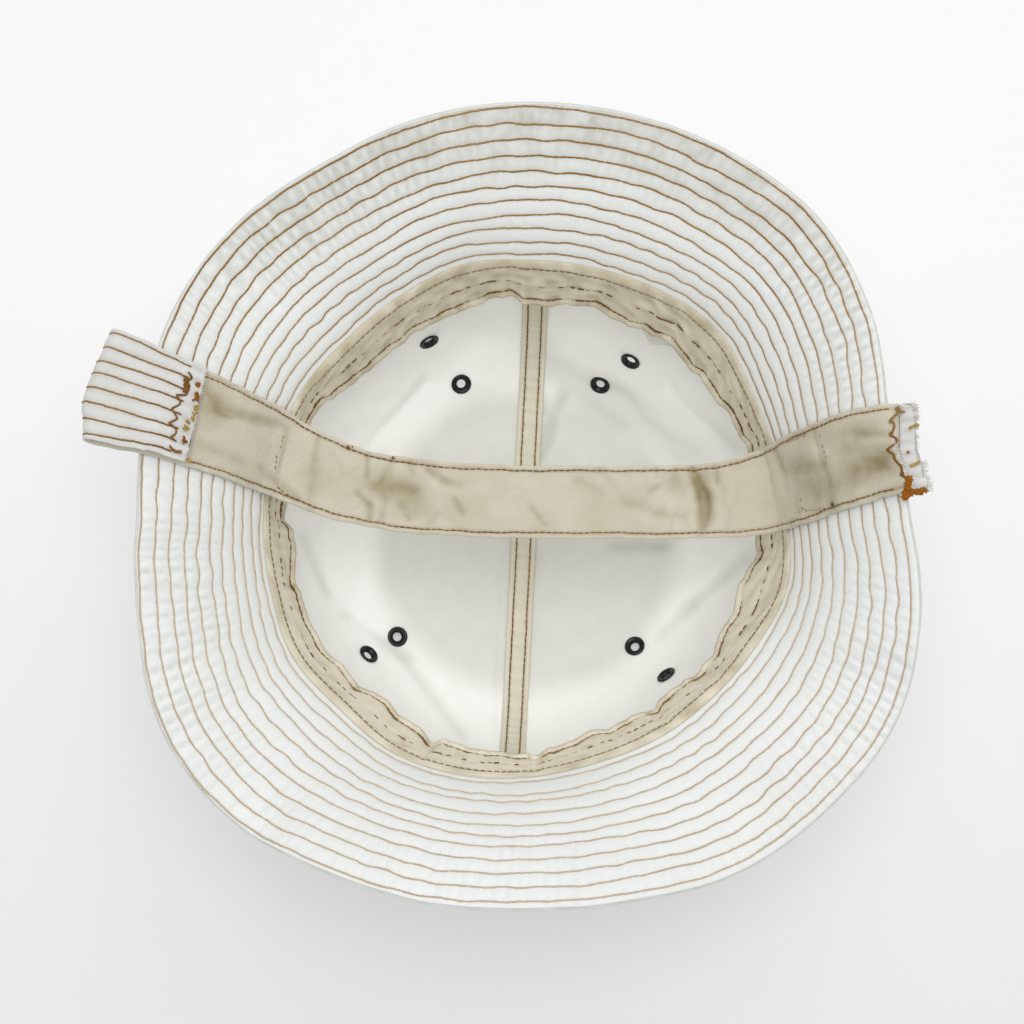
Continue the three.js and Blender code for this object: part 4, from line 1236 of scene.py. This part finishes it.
def ply(name, low, high, wear_and_shade, ends, seed, material):
    """A closed ply of the strap between two lifts off its white side, with a ragged right end."""
    ragged = np.interp(ACROSS, *zip(*ends)) + 0.45 * noise2(ACROSS * 16, 0 * ACROSS, seed, 1.3)
    row = np.arange(kept_rows)[:, None] + 0 * ACROSS
    row = row + ragged / STEP * smooth(row, end_row - 16, end_row)
    offset = lambda lift: at_row(sheet_p + sheet_n * (lift + wrinkle)[..., None], row)
    grid = np.concatenate([offset(high), offset(low)[:, ::-1]], 1)
    u, v = at_row(width_v, row), at_row(length_u, row)
    both = lambda values: np.concatenate([values, values[:, ::-1]], 1)
    wear_and_shade = both(np.clip(at_row(wear_and_shade, row), 0, 0.85))
    return build(name, grid, material, (both(u), both(v)), caps=True, wear_and_shade=wear_and_shade)


lining_low, lining_high = STRAP_CLOTH + STRAP_GAP + 0 * wrinkle, STACK + lining_relief
lining = ply(
    "strap_lining_twill", lining_low, lining_high, lining_shade_and_marks, LINING_END, 18, lining_cloth,
)
face_high = STRAP_CLOTH + 0 * wrinkle
face = ply(
    "strap_face_cotton", -face_relief, face_high, face_row_shade, TORN, 17, face_cloth,
)
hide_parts("strap_lining")
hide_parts("strap_face")


def surface(lift, lining_up):
    """Points and outward normals of one face of the strap."""
    relief = lining_relief if lining_up else -face_relief
    return sheet_p + sheet_n * (lift + relief + wrinkle)[..., None], sheet_n * (1 if lining_up else -1)


def strap_line(points, normals, side_at, first, last):
    """A line along the strap from one row to another. side_at gives its distance from the middle."""
    path, ups = [], []
    for i in range(first, last):
        spot = np.interp(side_at(i), sideways[i], np.arange(COLUMNS))
        k = int(min(spot, COLUMNS - 2))
        path.append(points[i, k] + (points[i, k + 1] - points[i, k]) * (spot - k))
        ups.append(normals[i, k])
    return np.array(path), np.array(ups)


top, top_up = surface(STACK, True)
white, white_up = surface(0.0, False)
runs = []
for which in (-1, 1):
    sway = lambda i: (half[i] - EDGE_ROW) * which + 0.25 * math.sin(i / 19)
    path, ups = strap_line(top, top_up, sway, 0, kept_rows - 3)
    runs.append(stitch_run(path, ups, *LINING_STITCH, 90 + which, 0.93))
threads("strap_lining_rows", runs, LINING_STITCH[1], band_thread)
runs = []
for which in STRAP_ROWS:
    wave = lambda i: 0.3 * math.sin(i / 17 + 4 * which) + 0.15 * math.sin(i / 6 + 9 * which)
    sway = lambda i: (half[i] - EDGE_ROW) * which + wave(i)
    path, ups = strap_line(white, white_up, sway, 7, kept_rows)
    runs.append(stitch_run(path, ups, *FACE_STITCH, 95, 1.06, sink=0.1))
threads("strap_face_rows", runs, FACE_STITCH[1], brown_thread)


def on_sheet(pixels, points, normals, first, last, lift=0.0):
    """Places on the strap under some of the photo's pixels, and their normals."""
    points, normals = points[first:last].reshape(-1, 3), normals[first:last].reshape(-1, 3)
    path, ups = [], []
    for column, row in pixels:
        z = 125.0
        for _ in range(5):
            x, y = seen_at(column, row, z)
            away = np.hypot(points[:, 0] - x, points[:, 1] - y)
            near = np.argsort(away)[:4]
            weight = 1 / (away[near] + 0.05)
            z = float(points[near, 2] @ weight / weight.sum())
        n = unit(normals[near].mean(0))
        path.append(np.array([x, y, z]) + n * lift)
        ups.append(n)
    return np.array(path), np.array(ups)


def cord(path, ups, bow=0.2):
    """Threads from point to point, bowed up a little."""
    f = np.linspace(0, 1, 6)[None, :, None]
    line = path[:-1, None] * (1 - f) + path[1:, None] * f
    up = ups[:-1, None] + 0 * f
    return line + up * np.sin(np.pi * f) * bow, up, np.array([0.8, 1, 1.05, 1.05, 1, 0.8])


def tangle(pixels, radius, count, length, seed, points, normals, first, last):
    """Short curled ends of thread round some of the photo's pixels."""
    rng = np.random.default_rng(seed)
    centres, ups = on_sheet(pixels, points, normals, first, last, 0.25)
    curls = []
    for _ in range(count):
        q = rng.integers(len(centres))
        n = ups[q]
        across = unit(np.cross(n, [1.0, 0.2, 0.0]))
        other = np.cross(n, across)
        place = rng.normal(0, radius / 2, 2)
        heading, curl = rng.uniform(0, 2 * math.pi), rng.normal(0, 2.4)
        size = length * rng.uniform(0.5, 1.1)
        turn = heading + curl * np.linspace(-0.5, 0.5, 6)
        step = np.cumsum(np.stack([np.cos(turn), np.sin(turn)], 1), axis=0) * size / 6
        flat = place + step - step.mean(0)
        high = rng.uniform(0, 0.45) + 0.2 * np.sin(np.linspace(0, math.pi, 6))
        curls.append(centres[q] + flat[:, :1] * across + flat[:, 1:] * other + high[:, None] * n)
    curls = np.stack(curls)
    return curls, np.broadcast_to([0.0, 0.0, 1.0], curls.shape) + 0, np.array([0.7, 1, 1, 1, 1, 0.7])


def frays(row_at_end, points, normals, way_on, count, length, seed, spread):
    """Loose threads along a raw end of the strap. row_at_end gives the row where each column ends."""
    rng = np.random.default_rng(seed)
    out = []
    for _ in range(count):
        spot = np.interp(rng.uniform(-0.99, 0.99), ACROSS, np.arange(COLUMNS))
        k = int(min(spot, COLUMNS - 2))
        row = float(np.interp(ACROSS[k], *row_at_end))
        i = int(row)
        p = points[i, k] + (points[i, k + 1] - points[i, k]) * (spot - k)
        p = p + (points[i + 1, k] - points[i, k]) * (row - i)
        ahead = unit(points[i, k] - points[i - 3 * way_on, k])
        n = normals[i, k]
        across = np.cross(n, ahead)
        size, bend, rise = length * rng.uniform(0.3, 1.1), rng.normal(0, spread), rng.normal(0, 0.15)
        t = np.linspace(0, 1, 5)[:, None]
        forward, sideward = ahead * ((size + 1.0) * t - 1.0), across * bend * size * t * t
        out.append(p + forward + sideward + n * (rise * size - 0.3) * t)
    out = np.stack(out)
    return out, np.broadcast_to([0.0, 0.0, 1.0], out.shape) + 0, np.array([1, 1, 0.9, 0.7, 0.4])


# The strap's upper faces, each with the rows between which places on it are looked for.
ON_TOP = (top, top_up, run_row, len(sheet_p))
ON_FLAP = (white, white_up, 0, flap_rows)
# The zigzag that holds each end, point by point, and its knots and loose bits.
RIGHT_ZIGZAG = [
    (897, 408), (898, 413), (890.5, 420), (894.5, 424), (893.5, 430), (890.5, 435), (897, 439), (896.5, 443),
    (887, 450), (893.5, 454), (895, 460), (901, 466), (902, 470), (901, 475), (907, 478), (909, 482),
    (906, 489),
]
LEFT_ZIGZAG = [
    (188, 372), (192, 378), (185, 382), (188, 388), (186, 395.5), (176, 395), (180.5, 402.5), (178, 405.5),
    (171.5, 408.5), (177.5, 419), (168.5, 423), (176, 429), (175.5, 434), (170, 437.5), (176, 441.5),
]
path, ups = on_sheet(RIGHT_ZIGZAG, *ON_TOP, 0.25)
knots = tangle([(897, 409), (891, 421), (891, 434), (902, 474)], 0.5, 22, 1.5, 7, *ON_TOP)
stub = cord(*on_sheet([(897, 412), (905, 412)], *ON_TOP, 0.3))
threads("strap_end_zigzag", [cord(path, ups), knots, stub], 0.4, brown_thread)
blob = [
    (908, 483), (908, 488), (906, 493), (908, 496), (913, 493), (918, 492), (923, 491), (909, 479),
    (905, 497),
]
orange = [
    tangle(blob, 0.9, 230, 2.2, 9, *ON_TOP), tangle([(908, 452.5)], 0.3, 8, 1.0, 10, *ON_TOP),
    tangle([(348, 447.5), (352, 448.5), (393, 458)], 0.4, 20, 1.2, 11, *ON_TOP),
]
threads("strap_end_orange", orange, 0.24, orange_thread)
gold = [
    cord(*on_sheet([(909, 428.5), (914, 426), (919, 424.5)], *ON_TOP, 0.5)),
    cord(*on_sheet([(910, 466), (915, 464.5), (920, 461.5)], *ON_TOP, 0.3)),
]
threads("strap_end_gold", gold, 0.5, gold_thread)
path, ups = on_sheet(LEFT_ZIGZAG, *ON_FLAP, 0.25)
knots = tangle([(186, 381), (186, 386), (185, 390)], 0.8, 60, 1.8, 12, *ON_FLAP)
threads("strap_flap_zigzag", [cord(path, ups), knots], 0.36, brown_thread)
hook, hook_up = on_sheet([(169, 447), (172, 451), (176, 453), (181, 453)], *ON_FLAP, 0.4)
spots = [(197, 385), (196, 395), (196, 399), (183.5, 440)]
orange = [cord(hook, hook_up), cord(hook + (0, 0.6, 0.1), hook_up)]
orange.append(tangle(spots, 0.7, 80, 1.6, 13, *ON_FLAP))
threads("strap_flap_orange", orange, 0.24, orange_thread)
faded = [(195, 408), (194, 413), (193, 418), (187, 422), (185.5, 428), (188, 461)]
gold = [tangle(faded, 0.8, 46, 1.8, 14, *ON_FLAP)]
threads("strap_flap_gold", gold, 0.26, gold_thread)

# Stitching that shows faintly through the lining where the strap was sewn down.
BOXES = [
    [(284, 434), (281, 446), (276, 458), (275, 470)], [(276, 486), (285, 493), (295, 500)],
    [(786, 443), (796, 439), (806, 435.5)], [(819.5, 433), (823, 448), (828, 464), (833, 481)],
    [(801, 496), (801, 507), (806, 511), (826, 508)],
]
runs = []
for box in BOXES:
    path, ups = on_sheet(box, *ON_TOP, 0.0)
    spots = np.linspace(0, len(path) - 1, 60)
    path = resample(spots, np.arange(len(path)), path)
    runs.append(stitch_run(path, np.repeat(ups[:1], 60, 0), *BOX_STITCH, 120, 0.6, 0.15, 0.08, 0.3))
threads("strap_box_stitches", runs, BOX_STITCH[1], plain_thread)

torn_at, lining_at = (list(zip(*[(a, end_row + b / STEP) for a, b in ends])) for ends in (TORN, LINING_END))
flap_at = [[-1, 1], [0.5, 0.5]]
runs = [
    frays(torn_at, white, -white_up, 1, 300, 2.2, 21, 0.3), frays(lining_at, top, top_up, 1, 220, 1.8, 22, 0.4),
]
threads("strap_end_fray", runs, 0.16, white_thread)
runs = [frays(flap_at, white, white_up, -1, 220, 1.3, 24, 0.3)]
threads("strap_flap_fray", runs, 0.16, white_thread)

# Stage, light and camera
# The floor is painted a little darker towards the front, a painted shade, and glows a little, a painted light
# which hides the cap's shadow.
WIDE, FLOOR_GLOW = 6.0, 0.3
floor_mesh = bpy.data.meshes.new("floor")
corners = [(x * WIDE, y * WIDE, 0) for x, y in ((-1, -1), (1, -1), (1, 1), (-1, 1))]
floor_mesh.from_pydata(corners, [], [(0, 1, 2, 3)])
n = Nodes("pale_floor")
tone = n.mix(n.ramp(n.axis("Y"), 0.12, -0.22), rgb(221, 221, 221), rgb(208, 208, 209))
n.shade(Base_Color=tone, Emission_Color=tone, Emission_Strength=FLOOR_GLOW)
n.shade(Roughness=0.9, Specular_IOR_Level=0.1)
floor_mesh.materials.append(n.material)
floor = add_object("floor", floor_mesh)
floor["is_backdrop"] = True

SKY, LIT_PLACE = 0.55, (0, 0, 0.08)
world = bpy.data.worlds.new("studio")
bpy.context.scene.world = world
world.use_nodes = True
background = world.node_tree.nodes["Background"]
background.inputs["Color"].default_value = (1.0, 1.0, 1.0, 1.0)
background.inputs["Strength"].default_value = SKY


def area_light(name, place, size, power):
    light = bpy.data.lights.new(name, "AREA")
    light.shape = "DISK"
    light.size = size
    light.energy = power
    lamp = add_object(name, light)
    lamp.location = place
    lamp.rotation_euler = (Vector(LIT_PLACE) - Vector(place)).to_track_quat("-Z", "Y").to_euler()


area_light("key", (0.3, 0.85, 2.1), 2.0, 12.0)
area_light("top", (0.0, 0.05, 2.6), 1.4, 20.0)

camera_data = bpy.data.cameras.new("camera")
camera_data.sensor_width = SENSOR
camera_data.lens = LENS
camera_data.shift_x = (PICTURE / 2 - TARGET_PIXEL[0]) / PICTURE
camera_data.shift_y = (TARGET_PIXEL[1] - PICTURE / 2) / PICTURE
camera = add_object("camera", camera_data)
back = Vector((0, -math.cos(ELEVATION), math.sin(ELEVATION)))
camera.location = (Vector(TARGET) + back * DISTANCE) * 0.001
camera.rotation_euler = (math.radians(90) - ELEVATION, 0, 0)
bpy.context.scene.camera = camera
bpy.context.scene.view_settings.view_transform = "Standard"

visual_box = [list(corner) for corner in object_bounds()]
